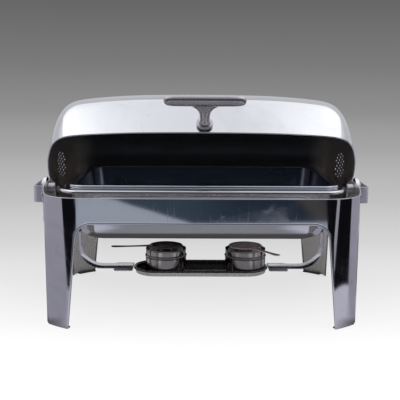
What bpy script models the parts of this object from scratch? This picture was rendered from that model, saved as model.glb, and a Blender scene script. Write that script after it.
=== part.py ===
"""Roll-top chafing dish: polished steel food warmer for one full-size food pan.

World frame in metres: origin on the floor under the middle of the stand, +X to
the right, +Y to the back, +Z up.  The lid is modelled closed and its pivot empty
rolls it back to the angle that it rests at.
"""
import math

import bmesh
import bpy
from mathutils import Matrix, Vector

MM = 0.001
GAP = 0.3 * MM                      # kept between faces that touch

# Stand, seen from above: a slightly bowed rectangle with round corners
FRONT_Y = 229 * MM                  # middle of the front wall
END_X = 330 * MM                    # middle of the end wall
FRONT_BOW_R = 5600 * MM
END_BOW_R = 640 * MM
CORNER_R_FLOOR = 48 * MM
CORNER_R_TOP = 70 * MM
CORNER_FLATTEN = 0.8                # how far the corner flattens into a facet at the floor
SHEET = 1.2 * MM                    # steel of the stand
STAND_TOP = 256 * MM
SKIRT_BOTTOM = 210 * MM
END_PANEL_BOTTOM = 198 * MM
ARCH_R = 35 * MM                    # round corner of the opening between two legs
LEG_INNER_X = (262 * MM, 245 * MM)  # front opening's half width, at the floor and at the arch
LEG_INNER_Y = (178 * MM, 168 * MM)  # end opening's half width, at the floor and at the arch
FOOT_T = 3 * MM
FOOT_W = 9 * MM                     # from the leg inwards

# Pivot and lid
PIVOT_Z = 241 * MM
LID_OPEN = math.radians(41.5)       # how far the lid is rolled back at rest
LID_R = 200 * MM
LID_END_X = 319.5 * MM              # widest point of the domed ends
LID_BOSS_X = 313 * MM               # pressed-in flat round the pivot
LID_T = 1.0 * MM
LID_STEPS = 24
VENT_R = 1.8 * MM
VENT_PITCH = 12 * MM
VENT_RADIUS = 95 * MM               # from the pivot to the middle of the vents
VENT_ANGLE = math.radians(113)      # from the front rim, round the pivot
VENT_HALF = (38 * MM, 24 * MM)      # half length round the pivot, half width across it
HANDLE_ANGLE = math.radians(6)      # above the front rim
HANDLE_X = 4 * MM
HANDLE_REACH = 65 * MM              # from the lid to the middle of the bar
HANDLE_LEN = 158 * MM
HANDLE_BAR = (9.2 * MM, 11.8 * MM)      # the bar's half thickness across and along the reach
HANDLE_STEPS = 16
HANDLE_NECK = [(0.0, 12, 12), (0.16, 12, 12), (0.3, 11.2, 10.6), (0.5, 11.8, 9.8), (0.62, 14, 9.2),
               (0.72, 19, 8.6), (0.8, 27, 8.0), (0.87, 38, 7.2)]  # share of the reach, half width and depth in mm

# Hinge
PIN_R = 5 * MM
CAP_R = 24.5 * MM
CAP_OUT_X = 344.5 * MM
PLATE_R = 24 * MM                   # hinge plate inside the lid
PLATE_T = 2 * MM
NUT_R = 9 * MM
WASHER_R = 11 * MM

# Side handles
GRIP_X = 351 * MM
GRIP_HALF_Y = 55 * MM
GRIP_Z = (219 * MM, 254 * MM)
GRIP_T = 2.5 * MM

# Pans
WATER_FLANGE = (279 * MM, 175.5 * MM)
WATER_FLANGE_Z = 261 * MM
WATER_LEDGE = 2.4 * MM              # the ledge stands this much above the flange's edge
WATER_BOTTOM_Z = 156.5 * MM
WATER_T = 1.0 * MM
FOOD_RIM = (265 * MM, 162.5 * MM)
FOOD_RIM_Z = 271 * MM
FOOD_DEPTH = 65 * MM
FOOD_X = 4 * MM                     # the pan sits a little off centre
FOOD_T = 0.9 * MM

# Fuel carrier
STRAP_X = 263 * MM
STRAP_W = 42 * MM
STRAP_T = 2 * MM
STRAP_LOW_Z = 69 * MM
STRAP_BEND_R = 48 * MM
CROSS_Z = 181 * MM                  # where the hanger passes under the lid's pivot
REST_LEN = 150 * MM
SPLICE_X = (147 * MM, 188 * MM)
SPLICE_W = 70 * MM
TRAY_HALF = (145 * MM, 50.5 * MM)
TRAY_Z = (57 * MM, 70 * MM)
TRAY_T = 1.2 * MM

# Fuel cups
CUPS = {"left": (-76 * MM, math.radians(190)), "right": (97 * MM, math.radians(-58))}
CUP_R = 44 * MM
CUP_FLOOR_Z = TRAY_Z[0] + TRAY_T + GAP
CUP_BEAD_Z = (93 * MM, 97 * MM)
CUP_TOP_Z = 108 * MM
COLLAR_TOP_Z = 115 * MM
COVER_R = 36 * MM
COVER_T = 1.5 * MM
COVER_PIVOT_R = 33 * MM
COVER_TIP_R = 119 * MM

SIDES = {"left": -1, "right": 1}
DEPTHS = {"front": -1, "rear": 1}


# ---------------------------------------------------------------- scene and materials

def clear_scene():
    for obj in list(bpy.data.objects):
        bpy.data.objects.remove(obj, do_unlink=True)
    for group in list(bpy.data.collections):
        bpy.data.collections.remove(group)


def new_collection(name):
    group = bpy.data.collections.new(name)
    bpy.context.scene.collection.children.link(group)
    return group


def make_material(name, colour, roughness, metallic):
    mat = bpy.data.materials.new(name)
    mat.use_nodes = True
    shader = mat.node_tree.nodes["Principled BSDF"]
    shader.inputs["Base Color"].default_value = (*colour, 1)
    shader.inputs["Roughness"].default_value = roughness
    shader.inputs["Metallic"].default_value = metallic
    mat.diffuse_color = (*colour, 1)
    return mat


def add_part(name, mesh_maker, finish, parent=None, smooth=30):
    """Make a named node from a bmesh, with its own material."""
    bm = mesh_maker if isinstance(mesh_maker, bmesh.types.BMesh) else mesh_maker()
    mesh = bpy.data.meshes.new(name)
    bm.to_mesh(mesh)
    bm.free()
    mesh.shade_smooth()
    mesh.set_sharp_from_angle(angle=math.radians(smooth))
    obj = bpy.data.objects.new(name, mesh)
    obj.data.materials.append(make_material(name + "_finish", *finish))
    PARTS.objects.link(obj)
    obj.parent = parent
    return obj


def add_cutter(name, bm, parent=None):
    mesh = bpy.data.meshes.new(name)
    bm.to_mesh(mesh)
    bm.free()
    obj = bpy.data.objects.new(name, mesh)
    obj.hide_render = True
    obj.display_type = "WIRE"
    CUTTERS.objects.link(obj)
    obj.parent = parent
    return obj


def solidify(obj, thickness, offset=-1):
    mod = obj.modifiers.new("wall", "SOLIDIFY")
    mod.thickness = thickness
    mod.offset = offset
    mod.use_even_offset = True


def cut(obj, cutter):
    mod = obj.modifiers.new("cut_" + cutter.name, "BOOLEAN")
    mod.operation = "DIFFERENCE"
    mod.object = cutter


POLISHED = ((0.80, 0.81, 0.83), 0.08, 1.0)
SATIN = ((0.62, 0.62, 0.63), 0.30, 1.0)
PAD = ((0.05, 0.05, 0.05), 0.60, 0.0)


# ---------------------------------------------------------------- shapes

def arc(centre, radius, start, end, steps):
    """Points on an arc, both ends included."""
    cx, cy = centre
    angles = [start + (end - start) * i / steps for i in range(steps + 1)]
    return [(cx + radius * math.cos(a), cy + radius * math.sin(a)) for a in angles]


def prism(outline, depth, to_world):
    """Extrude a closed flat outline by depth along +Z, then place it."""
    bm = bmesh.new()
    face = bm.faces.new([bm.verts.new((x, y, 0)) for x, y in outline])
    face.normal_update()
    if face.normal.z > 0:
        face.normal_flip()
    moved = bmesh.ops.extrude_face_region(bm, geom=[face], use_keep_orig=True)["geom"]
    verts = [v for v in moved if isinstance(v, bmesh.types.BMVert)]
    bmesh.ops.translate(bm, verts=verts, vec=(0, 0, depth))
    bmesh.ops.recalc_face_normals(bm, faces=bm.faces)
    bmesh.ops.transform(bm, matrix=to_world, verts=bm.verts)
    return bm


def strip(path, width, to_world):
    """Open band: a bent path in XZ, drawn out along Y about the middle."""
    bm = bmesh.new()
    verts = [bm.verts.new((x, -width / 2, z)) for x, z in path]
    edges = [bm.edges.new(pair) for pair in zip(verts, verts[1:])]
    moved = bmesh.ops.extrude_edge_only(bm, edges=edges)["geom"]
    ends = [v for v in moved if isinstance(v, bmesh.types.BMVert)]
    bmesh.ops.translate(bm, verts=ends, vec=(0, width, 0))
    bmesh.ops.transform(bm, matrix=to_world, verts=bm.verts)
    return bm


def turned(profile, to_world, steps=20):
    """Spin a closed (radius, height) profile round Z; points on the axis share one vertex."""
    bm = bmesh.new()
    verts = [bm.verts.new((r, 0, z)) for r, z in profile]
    edges = [bm.edges.new(pair) for pair in zip(verts, verts[1:])]
    if profile[0][0] > 0:
        edges.append(bm.edges.new((verts[-1], verts[0])))
    bmesh.ops.spin(bm, geom=verts + edges, cent=(0, 0, 0), axis=(0, 0, 1),
                   angle=math.tau, steps=steps, use_merge=True)
    bmesh.ops.remove_doubles(bm, verts=bm.verts, dist=0.00001)
    bmesh.ops.recalc_face_normals(bm, faces=bm.faces)
    bmesh.ops.transform(bm, matrix=to_world, verts=bm.verts)
    return bm


def loft(rings, closed_ring=True, cap_last=False):
    """Skin rings of equal point count, in order."""
    bm = bmesh.new()
    rows = [[bm.verts.new(p) for p in ring] for ring in rings]
    for low, high in zip(rows, rows[1:]):
        count = len(low) if closed_ring else len(low) - 1
        for i in range(count):
            j = (i + 1) % len(low)
            bm.faces.new((low[i], low[j], high[j], high[i]))
    if cap_last:
        bm.faces.new(rows[-1])
    bmesh.ops.recalc_face_normals(bm, faces=bm.faces)
    return bm


def rounded_rectangle(half_x, half_y, radius, z, corner_steps=4, centre_x=0.0):
    """Closed ring of points, counter-clockwise from the right front corner."""
    points = []
    for sx, sy, start in ((1, -1, -90), (1, 1, 0), (-1, 1, 90), (-1, -1, 180)):
        centre = (centre_x + sx * (half_x - radius), sy * (half_y - radius))
        turn = arc(centre, radius, math.radians(start), math.radians(start + 90), corner_steps)
        points += [(x, y, z) for x, y in turn]
    return points


def place(x=0.0, y=0.0, z=0.0):
    return Matrix.Translation((x, y, z))


def along_x(sign):
    """Turn a +Z shape to point along +X or -X."""
    return Matrix.Rotation(sign * math.pi / 2, 4, "Y")


# ---------------------------------------------------------------- stand

class Plan:
    """The stand's outline from above at one height, in the +X, -Y quarter."""

    def __init__(self, z, inset=0.0):
        share = min(max(z / STAND_TOP, 0), 1)
        corner_r = CORNER_R_FLOOR + (CORNER_R_TOP - CORNER_R_FLOOR) * share
        self.z = z
        self.inset = inset
        self.corner_r = corner_r
        self.front_c = Vector((0, FRONT_BOW_R - FRONT_Y))
        self.end_c = Vector((END_X - END_BOW_R, 0))
        front_r = FRONT_BOW_R - corner_r
        end_r = END_BOW_R - corner_r
        span = self.end_c - self.front_c
        reach = span.length
        along = (front_r ** 2 - end_r ** 2 + reach ** 2) / (2 * reach)
        off = math.sqrt(front_r ** 2 - along ** 2)
        unit = span / reach
        middle = self.front_c + unit * along
        both = [middle + Vector((-unit.y, unit.x)) * s * off for s in (1, -1)]
        self.corner_c = max(both, key=lambda p: p.x - p.y)
        front_dir = (self.corner_c - self.front_c).normalized()
        end_dir = (self.corner_c - self.end_c).normalized()
        self.front_angle = math.atan2(front_dir.y, front_dir.x)
        self.end_angle = math.atan2(end_dir.y, end_dir.x)

    def on_front(self, x):
        radius = FRONT_BOW_R - self.inset
        return (x, self.front_c.y - math.sqrt(radius ** 2 - x ** 2))

    def on_end(self, y):
        radius = END_BOW_R - self.inset
        return (self.end_c.x + math.sqrt(radius ** 2 - y ** 2), y)

    def on_corner(self, share):
        angle = self.front_angle + (self.end_angle - self.front_angle) * share
        start, stop, here = (self.round_corner(a) for a in (self.front_angle, self.end_angle, angle))
        chord = stop - start
        facet = start + chord * ((here - start).dot(chord) / chord.length_squared)
        point = here.lerp(facet, CORNER_FLATTEN * (1 - min(max(self.z / STAND_TOP, 0), 1)))
        return tuple(point)

    def round_corner(self, angle):
        reach = self.corner_r - self.inset
        return self.corner_c + Vector((math.cos(angle), math.sin(angle))) * reach

    def corner_run(self, front_x, end_y, corner_steps=10, side_steps=3):
        """Points from front_x on the front wall, round the corner, to end_y on the end wall."""
        tangent_x = self.on_corner(0)[0]
        tangent_y = self.on_corner(1)[1]
        along_front, along_end = tangent_x - front_x, end_y - tangent_y
        run = [self.on_front(front_x + along_front * i / side_steps) for i in range(side_steps)]
        run += [self.on_corner(i / corner_steps) for i in range(corner_steps + 1)]
        run += [self.on_end(tangent_y + along_end * i / side_steps) for i in range(1, side_steps + 1)]
        return [(x, y, self.z) for x, y in run]


def quarter(side, depth):
    """Mirror the +X, -Y quarter to a named corner."""
    return Matrix.Diagonal((SIDES[side], -DEPTHS[depth], 1, 1))


def transformed(bm, matrix):
    bmesh.ops.transform(bm, matrix=matrix, verts=bm.verts)
    if matrix.determinant() < 0:
        bmesh.ops.reverse_faces(bm, faces=bm.faces)
    return bm


def arch_cutters():
    """Round-topped openings that pass through both long walls and both end walls."""
    outlines = {}
    walls = (("front", LEG_INNER_X, SKIRT_BOTTOM), ("end", LEG_INNER_Y, END_PANEL_BOTTOM))
    for name, (low, high), top in walls:
        right = arc((high - ARCH_R, top - ARCH_R), ARCH_R, 0, math.pi / 2, 8)
        slope = (low - high) / (top - ARCH_R)
        foot = (low + slope * FOOT_T, -FOOT_T)
        half = [foot] + right
        outlines[name] = half + [(-x, z) for x, z in reversed(half)]
    upright = Matrix.Rotation(math.pi / 2, 4, "X")
    sideways = Matrix.Rotation(math.pi / 2, 4, "Z") @ upright
    through = 800 * MM
    front = prism(outlines["front"], through, place(y=through / 2) @ upright)
    end = prism(outlines["end"], through, place(x=-through / 2) @ sideways)
    return add_cutter("front_arch_cutter", front), add_cutter("end_arch_cutter", end)


def build_stand():
    front_seam = LEG_INNER_X[1] - ARCH_R
    end_seam = LEG_INNER_Y[1] - ARCH_R
    front_arch, end_arch = arch_cutters()
    heights = [STAND_TOP * step / 4 for step in range(5)]
    for depth, sy in DEPTHS.items():
        reach = front_seam - GAP / 2
        count = 12
        xs = [-reach + 2 * reach * i / count for i in range(count + 1)]
        rings = [[(x, Plan(z).on_front(x)[1], z) for x in xs] for z in (SKIRT_BOTTOM, STAND_TOP)]
        sheet = transformed(loft(rings, closed_ring=False), Matrix.Diagonal((1, -sy, 1, 1)))
        solidify(add_part(f"skirt_{depth}", face_out(sheet), POLISHED), SHEET)
    for side, sx in SIDES.items():
        reach = end_seam - GAP / 2
        count = 10
        ys = [-reach + 2 * reach * i / count for i in range(count + 1)]
        rings = [[(*Plan(z).on_end(y), z) for y in ys] for z in (END_PANEL_BOTTOM, STAND_TOP)]
        sheet = transformed(loft(rings, closed_ring=False), Matrix.Diagonal((sx, 1, 1, 1)))
        panel = add_part(f"end_panel_{side}", face_out(sheet), POLISHED)
        solidify(panel, SHEET)
        drill = turned([(0, -10 * MM), (PIN_R + GAP, -10 * MM), (PIN_R + GAP, 10 * MM), (0, 10 * MM)],
                       place(sx * END_X, 0, PIVOT_Z) @ along_x(sx))
        cut(panel, add_cutter(f"pin_drill_{side}", drill))
    for side in SIDES:
        for depth in DEPTHS:
            rings = [Plan(z).corner_run(front_seam + GAP / 2, -end_seam - GAP / 2) for z in heights]
            wall = face_out(transformed(loft(rings, closed_ring=False), quarter(side, depth)))
            leg = add_part(f"leg_{depth}_{side}", wall, POLISHED)
            solidify(leg, SHEET)
            cut(leg, front_arch)
            cut(leg, end_arch)
            plan = Plan(0, SHEET + GAP)
            run = [plan.on_corner(i / 10) for i in range(1, 10)]
            inwards = FOOT_W * math.sqrt(0.5)
            run += [(x - inwards, y + inwards) for x, y in reversed(run)]
            foot = prism(run, FOOT_T, Matrix.Identity(4))
            add_part(f"foot_{depth}_{side}", transformed(foot, quarter(side, depth)), PAD)


def face_out(bm):
    """Turn an open wall's faces away from the middle of the stand."""
    bm.normal_update()
    away = Vector((1, 1, 0))
    inward = sum(1 if f.normal.dot(f.calc_center_median() * away) < 0 else -1 for f in bm.faces)
    if inward > 0:
        bmesh.ops.reverse_faces(bm, faces=bm.faces)
    return bm


# ---------------------------------------------------------------- side handles and hinge caps

def build_side_handles():
    bend = 9 * MM
    for side, sx in SIDES.items():
        foot_x = Plan(GRIP_Z[1]).on_end(GRIP_HALF_Y)[0] + GAP + GRIP_T / 2
        tab = 16 * MM
        grip_mid = GRIP_X - GRIP_T / 2
        arm_y = GRIP_HALF_Y - GRIP_T / 2
        corner = arc((grip_mid - bend, arm_y - bend), bend, 0, math.pi / 2, 5)
        heel = arc((foot_x + bend * 0.5, arm_y + bend * 0.5), bend * 0.5, -math.pi / 2, -math.pi, 4)
        tab_out = Plan(GRIP_Z[1]).on_end(arm_y + tab)[0] + GAP + GRIP_T / 2
        half = corner + heel + [(tab_out, arm_y + tab)]
        path = [(x, -y) for x, y in reversed(half)] + half
        bm = bmesh.new()
        verts = [bm.verts.new((x, y, GRIP_Z[0])) for x, y in path]
        edges = [bm.edges.new(pair) for pair in zip(verts, verts[1:])]
        moved = bmesh.ops.extrude_edge_only(bm, edges=edges)["geom"]
        tops = [v for v in moved if isinstance(v, bmesh.types.BMVert)]
        bmesh.ops.translate(bm, verts=tops, vec=(0, 0, GRIP_Z[1] - GRIP_Z[0]))
        handle = add_part(f"side_handle_{side}", transformed(bm, Matrix.Diagonal((sx, 1, 1, 1))), POLISHED)
        solidify(handle, GRIP_T, offset=0)
        rivet_y = arm_y + tab * 0.62
        face = Plan(GRIP_Z[1]).on_end(rivet_y)[0] + GRIP_T + 3 * GAP
        for depth, sy in DEPTHS.items():
            height = (GRIP_Z[0] + GRIP_Z[1]) / 2
            head = [(0, 2.2 * MM), (2.4 * MM, 1.9 * MM), (4.2 * MM, 1.0 * MM), (4.6 * MM, 0), (0, 0)]
            add_part(f"side_handle_rivet_{side}_{depth}",
                     turned(head, place(sx * (face + GAP), sy * rivet_y, height) @ along_x(sx), 16), POLISHED)


def build_hinge():
    for side, sx in SIDES.items():
        at = place(0, 0, PIVOT_Z) @ along_x(sx)
        inner = END_X + GAP
        dome = [(CAP_R, inner), (CAP_R, inner + 5 * MM)]
        dome += [(CAP_R - 9 * MM + r, inner + 5 * MM + h) for r, h in
                 arc((0, 0), 9 * MM, math.radians(20), math.pi / 2, 5)]
        dome += [(0, CAP_OUT_X), (0, CAP_OUT_X - 1.5 * MM), (CAP_R - 9 * MM, CAP_OUT_X - 2 * MM),
                 (CAP_R - 2 * MM, inner + 5 * MM), (CAP_R - 2 * MM, inner)]
        add_part(f"hinge_cap_{side}", turned([(CAP_R - 2 * MM, inner)] + dome[:-1], at), POLISHED)
        head_x = END_X + 4 * MM
        pin = [(0, LID_BOSS_X - 12 * MM), (PIN_R, LID_BOSS_X - 12 * MM), (PIN_R, END_X + 2 * GAP),
               (9 * MM, END_X + 2 * GAP), (9 * MM, head_x), (0, head_x)]
        add_part(f"hinge_pin_{side}", turned(pin, at), SATIN)
        hole = PIN_R + 0.4 * MM
        washer = [(hole, LID_BOSS_X + 2 * GAP), (WASHER_R, LID_BOSS_X + 2 * GAP),
                  (WASHER_R, END_X - SHEET - 2 * GAP), (hole, END_X - SHEET - 2 * GAP)]
        add_part(f"hinge_washer_{side}", turned(washer, at), SATIN)


# ---------------------------------------------------------------- lid

def lid_profile():
    """Half of the lid's section, (x, radius), from the middle of the top to the boss at the pivot."""
    crown = [(x * MM, LID_R - (x / 139) ** 2 * 2 * MM) for x in (0, 70, 139)]
    shoulder = [(224 * MM, 192 * MM), (252 * MM, 188.5 * MM), (268 * MM, 184.5 * MM),
                (281 * MM, 178 * MM), (291 * MM, 168 * MM), (299 * MM, 154.5 * MM), (306 * MM, 135 * MM)]
    end = [(313.5 * MM, 105 * MM), (317.5 * MM, 75 * MM), (LID_END_X, 48 * MM), (318 * MM, 34 * MM),
           (LID_BOSS_X, 26 * MM), (LID_BOSS_X, 8 * MM)]
    return crown + shoulder + end


def lid_shell_mesh():
    half = lid_profile()
    section = [(-x, r) for x, r in reversed(half[1:])] + half
    bm = bmesh.new()
    verts = [bm.verts.new((x, -r, 0)) for x, r in section]
    edges = [bm.edges.new(pair) for pair in zip(verts, verts[1:])]
    bmesh.ops.spin(bm, geom=verts + edges, cent=(0, 0, 0), axis=(1, 0, 0), angle=-math.pi,
                   steps=LID_STEPS)
    bm.normal_update()
    lead = max(bm.faces, key=lambda f: f.calc_center_median().z)
    if lead.normal.z < 0:
        bmesh.ops.reverse_faces(bm, faces=bm.faces)
    return bm


def vent_positions():
    """Middles of the vent holes on a lid end, as (y, z) from the pivot with the lid closed."""
    middle = Vector((-VENT_RADIUS * math.cos(VENT_ANGLE), VENT_RADIUS * math.sin(VENT_ANGLE)))
    spots = []
    for row in range(-3, 4):
        for col in range(-4, 5):
            across = row * VENT_PITCH * math.sqrt(3) / 2
            along = (col + 0.5 * (row % 2)) * VENT_PITCH
            if (along / VENT_HALF[0]) ** 2 + (across / VENT_HALF[1]) ** 2 <= 1.0:
                spots.append(middle + Vector((along, across)))
    return spots


def vent_cutter(sx):
    bm = bmesh.new()
    for spot in vent_positions():
        matrix = place(sx * LID_BOSS_X, spot.x, spot.y) @ along_x(1)
        bmesh.ops.create_cone(bm, cap_ends=True, segments=6, radius1=VENT_R, radius2=VENT_R,
                              depth=40 * MM, matrix=matrix)
    return bm


def build_lid():
    pivot = bpy.data.objects.new("lid_pivot", None)
    pivot.location = (0, 0, PIVOT_Z)
    pivot.rotation_euler = (-LID_OPEN, 0, 0)
    PARTS.objects.link(pivot)
    shell = add_part("lid_shell", lid_shell_mesh, POLISHED, pivot)
    solidify(shell, LID_T)
    for side, sx in SIDES.items():
        cut(shell, add_cutter(f"vent_drill_{side}", vent_cutter(sx), pivot))
        at = along_x(sx)
        hole = PIN_R + 0.4 * MM
        near = LID_BOSS_X - LID_T - GAP - PLATE_T
        plate = [(hole, near), (PLATE_R, near), (PLATE_R, near + PLATE_T), (hole, near + PLATE_T)]
        add_part(f"hinge_plate_{side}", turned(plate, at), SATIN, pivot)
        face = near - GAP
        nut = [(hole, face), (NUT_R, face), (NUT_R, face - 6 * MM)]
        nut += [(NUT_R - 2.5 * MM, face - 8 * MM), (hole, face - 8 * MM)]
        add_part(f"hinge_nut_{side}", turned(list(reversed(nut)), at, 12), SATIN, pivot)
    aim = Matrix.Rotation(-HANDLE_ANGLE, 4, "X") @ Matrix.Rotation(math.pi / 2, 4, "X")
    base = LID_R + GAP
    ring = [(12.4 * MM, base + 2.5 * MM), (16.5 * MM, base + 2.5 * MM), (17 * MM, base + 5.5 * MM),
            (15 * MM, base + 7.5 * MM), (12.4 * MM, base + 7.5 * MM)]
    add_part("handle_ring", turned(ring, aim @ place(x=HANDLE_X)), POLISHED, pivot)
    add_part("lid_handle", handle_mesh(aim, base), POLISHED, pivot)
    inside = LID_R - LID_T - 2 * GAP
    screw = [(0, inside - 4 * MM), (6 * MM, inside - 3.5 * MM), (9 * MM, inside - 1 * MM),
             (9 * MM, inside - 0.2 * MM), (0, inside - 0.2 * MM)]
    add_part("handle_screw", turned(screw, aim @ place(x=HANDLE_X), 16), SATIN, pivot)


def closed_loft(rings, aim):
    """Loft with both ends closed, then placed."""
    bm = loft(rings, cap_last=True)
    bm.verts.ensure_lookup_table()
    bm.faces.new([bm.verts[i] for i in range(len(rings[0]))])
    bmesh.ops.recalc_face_normals(bm, faces=bm.faces)
    bmesh.ops.transform(bm, matrix=aim, verts=bm.verts)
    return bm


def handle_mesh(aim, base):
    """T-shaped casting: a round neck that spreads into a flattened oval bar."""
    turns = [math.tau * step / HANDLE_STEPS for step in range(HANDLE_STEPS)]
    necks = [[(HANDLE_X + half_w * MM * math.cos(a), half_d * MM * math.sin(a), base + HANDLE_REACH * share)
              for a in turns] for share, half_w, half_d in HANDLE_NECK]
    bars = []
    for share in (-1.0, -0.985, -0.94, -0.86, -0.6, -0.25, 0.25, 0.6, 0.86, 0.94, 0.985, 1.0):
        swell = math.sqrt(max(1 - abs(share) ** 9, 0.02))
        bars.append([(HANDLE_X + HANDLE_LEN / 2 * share, HANDLE_BAR[0] * swell * math.cos(a),
                      base + HANDLE_REACH + HANDLE_BAR[1] * swell * math.sin(a)) for a in turns])
    bar = add_cutter("handle_bar", closed_loft(bars, aim))
    neck = add_cutter("handle_neck", closed_loft(necks, aim))
    union = bar.modifiers.new("join", "BOOLEAN")
    union.operation = "UNION"
    union.object = neck
    bpy.context.view_layer.update()
    joined = bpy.data.meshes.new_from_object(bar.evaluated_get(bpy.context.evaluated_depsgraph_get()))
    bm = bmesh.new()
    bm.from_mesh(joined)
    bpy.data.objects.remove(bar)
    bpy.data.objects.remove(neck)
    return bm


# ---------------------------------------------------------------- pans

def pan_mesh(rows, centre_x=0.0):
    """Open pan from (half_x, half_y, corner radius, z) rows, flange edge first."""
    rings = [rounded_rectangle(hx, hy, r, z, centre_x=centre_x) for hx, hy, r, z in rows]
    bm = loft(rings, cap_last=True)
    bm.normal_update()
    floor = min(bm.faces, key=lambda f: f.calc_center_median().z)
    if floor.normal.z > 0:
        bmesh.ops.reverse_faces(bm, faces=bm.faces)
    return bm


def build_pans():
    flange_x, flange_y = WATER_FLANGE
    body_x, body_y = 260 * MM, 157 * MM
    ledge = WATER_FLANGE_Z + WATER_LEDGE
    rows = [(flange_x, flange_y, 34 * MM, WATER_FLANGE_Z - 3 * MM),
            (flange_x, flange_y, 34 * MM, WATER_FLANGE_Z),
            (flange_x - 4 * MM, flange_y - 4 * MM, 31 * MM, ledge),
            (body_x + 2 * MM, body_y + 2 * MM, 32 * MM, ledge),
            (body_x, body_y, 31 * MM, ledge - 3 * MM)]
    bend = 29 * MM
    slope = 13 * MM
    for i in range(6):
        a = math.pi / 2 * i / 5
        inset = slope + bend * (1 - math.cos(a))
        rows.append((body_x - inset, body_y - inset, 40 * MM - 0.35 * inset,
                     WATER_BOTTOM_Z + bend * (1 - math.sin(a))))
    solidify(add_part("water_pan", pan_mesh(rows), POLISHED), WATER_T)
    rim_x, rim_y = FOOD_RIM
    wall_x, wall_y = rim_x - 13 * MM, rim_y - 13 * MM
    top = FOOD_RIM_Z
    rows = [(rim_x, rim_y, 28 * MM, top - 6.2 * MM),
            (rim_x, rim_y, 28 * MM, top - 1.5 * MM),
            (rim_x - 1.5 * MM, rim_y - 1.5 * MM, 27 * MM, top),
            (wall_x + 2 * MM, wall_y + 2 * MM, 30 * MM, top),
            (wall_x, wall_y, 29 * MM, top - 3 * MM)]
    bend = 16 * MM
    slope = 6 * MM
    for i in range(5):
        a = math.pi / 2 * i / 4
        inset = slope + bend * (1 - math.cos(a))
        rows.append((wall_x - inset, wall_y - inset, 29 * MM - 0.4 * inset,
                     top - FOOD_DEPTH + bend * (1 - math.sin(a))))
    solidify(add_part("food_pan", pan_mesh(rows, FOOD_X), POLISHED), FOOD_T)


# ---------------------------------------------------------------- fuel carrier

def build_carrier():
    for side, sx in SIDES.items():
        mirror = Matrix.Diagonal((sx, 1, 1, 1))
        bend = arc((STRAP_X - STRAP_BEND_R, STRAP_LOW_Z + STRAP_BEND_R), STRAP_BEND_R, 0, -math.pi / 2, 10)
        top = WATER_FLANGE_Z - 24 * MM
        path = [(STRAP_X, top)] + bend + [(SPLICE_X[0] + 2 * MM, STRAP_LOW_Z)]
        bent = transformed(strip(path, STRAP_W, Matrix()), mirror)
        strap = add_part(f"support_strap_{side}", bent, POLISHED)
        solidify(strap, STRAP_T, offset=0)
        face = STRAP_X + STRAP_T + GAP
        lip = WATER_FLANGE_Z + WATER_LEDGE - WATER_T - GAP - STRAP_T / 2
        rest_path = [(face, top - 22 * MM), (face, lip - 3 * MM)]
        rest_path += arc((face + 3 * MM, lip - 3 * MM), 3 * MM, math.pi, math.pi / 2, 3)[1:]
        rest_path += [(face + 9 * MM, lip)]
        rest = add_part(f"pan_rest_{side}", transformed(strip(rest_path, REST_LEN, Matrix()), mirror), SATIN)
        solidify(rest, STRAP_T, offset=0)
        far = Plan(STAND_TOP).on_end(STRAP_W / 2)[0] - SHEET - GAP - STRAP_T / 2
        r = 6 * MM
        hanger_path = [(face, CROSS_Z - 26 * MM), (face, CROSS_Z - r)]
        hanger_path += arc((face + r, CROSS_Z - r), r, math.pi, math.pi / 2, 4)[1:]
        hanger_path += arc((far - r, CROSS_Z + r), r, -math.pi / 2, 0, 4)
        hanger_path += [(far, CROSS_Z + 36 * MM)]
        hanger = add_part(f"hanger_{side}", transformed(strip(hanger_path, STRAP_W, Matrix()), mirror), SATIN)
        solidify(hanger, STRAP_T, offset=0)
        for depth, sy in DEPTHS.items():
            y = sy * 12 * MM
            start = Plan(STAND_TOP).on_end(y)[0] + GAP
            head = [(0, 2.0 * MM), (2.2 * MM, 1.8 * MM), (4.0 * MM, 0.9 * MM), (4.4 * MM, 0), (0, 0)]
            add_part(f"hanger_rivet_{side}_{depth}",
                     turned(head, place(sx * start, y, CROSS_Z + 27 * MM) @ along_x(sx), 16), POLISHED)
        low = STRAP_LOW_Z - STRAP_T / 2 - GAP - 1.6 * MM
        outline = [(SPLICE_X[0], -SPLICE_W / 2), (SPLICE_X[1], -SPLICE_W / 2),
                   (SPLICE_X[1], SPLICE_W / 2), (SPLICE_X[0], SPLICE_W / 2)]
        add_part(f"tray_splice_{side}", transformed(prism(outline, 1.6 * MM, place(z=low)), mirror), POLISHED)
    low, high = TRAY_Z
    hx, hy = TRAY_HALF
    radius = 48 * MM
    rows = [(hx, hy, radius, high), (hx, hy, radius, low + 3 * MM),
            (hx - 1 * MM, hy - 1 * MM, radius, low + 1 * MM),
            (hx - 3 * MM, hy - 3 * MM, radius - 2 * MM, low)]
    solidify(add_part("fuel_tray", pan_mesh(rows), POLISHED), TRAY_T)


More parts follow.
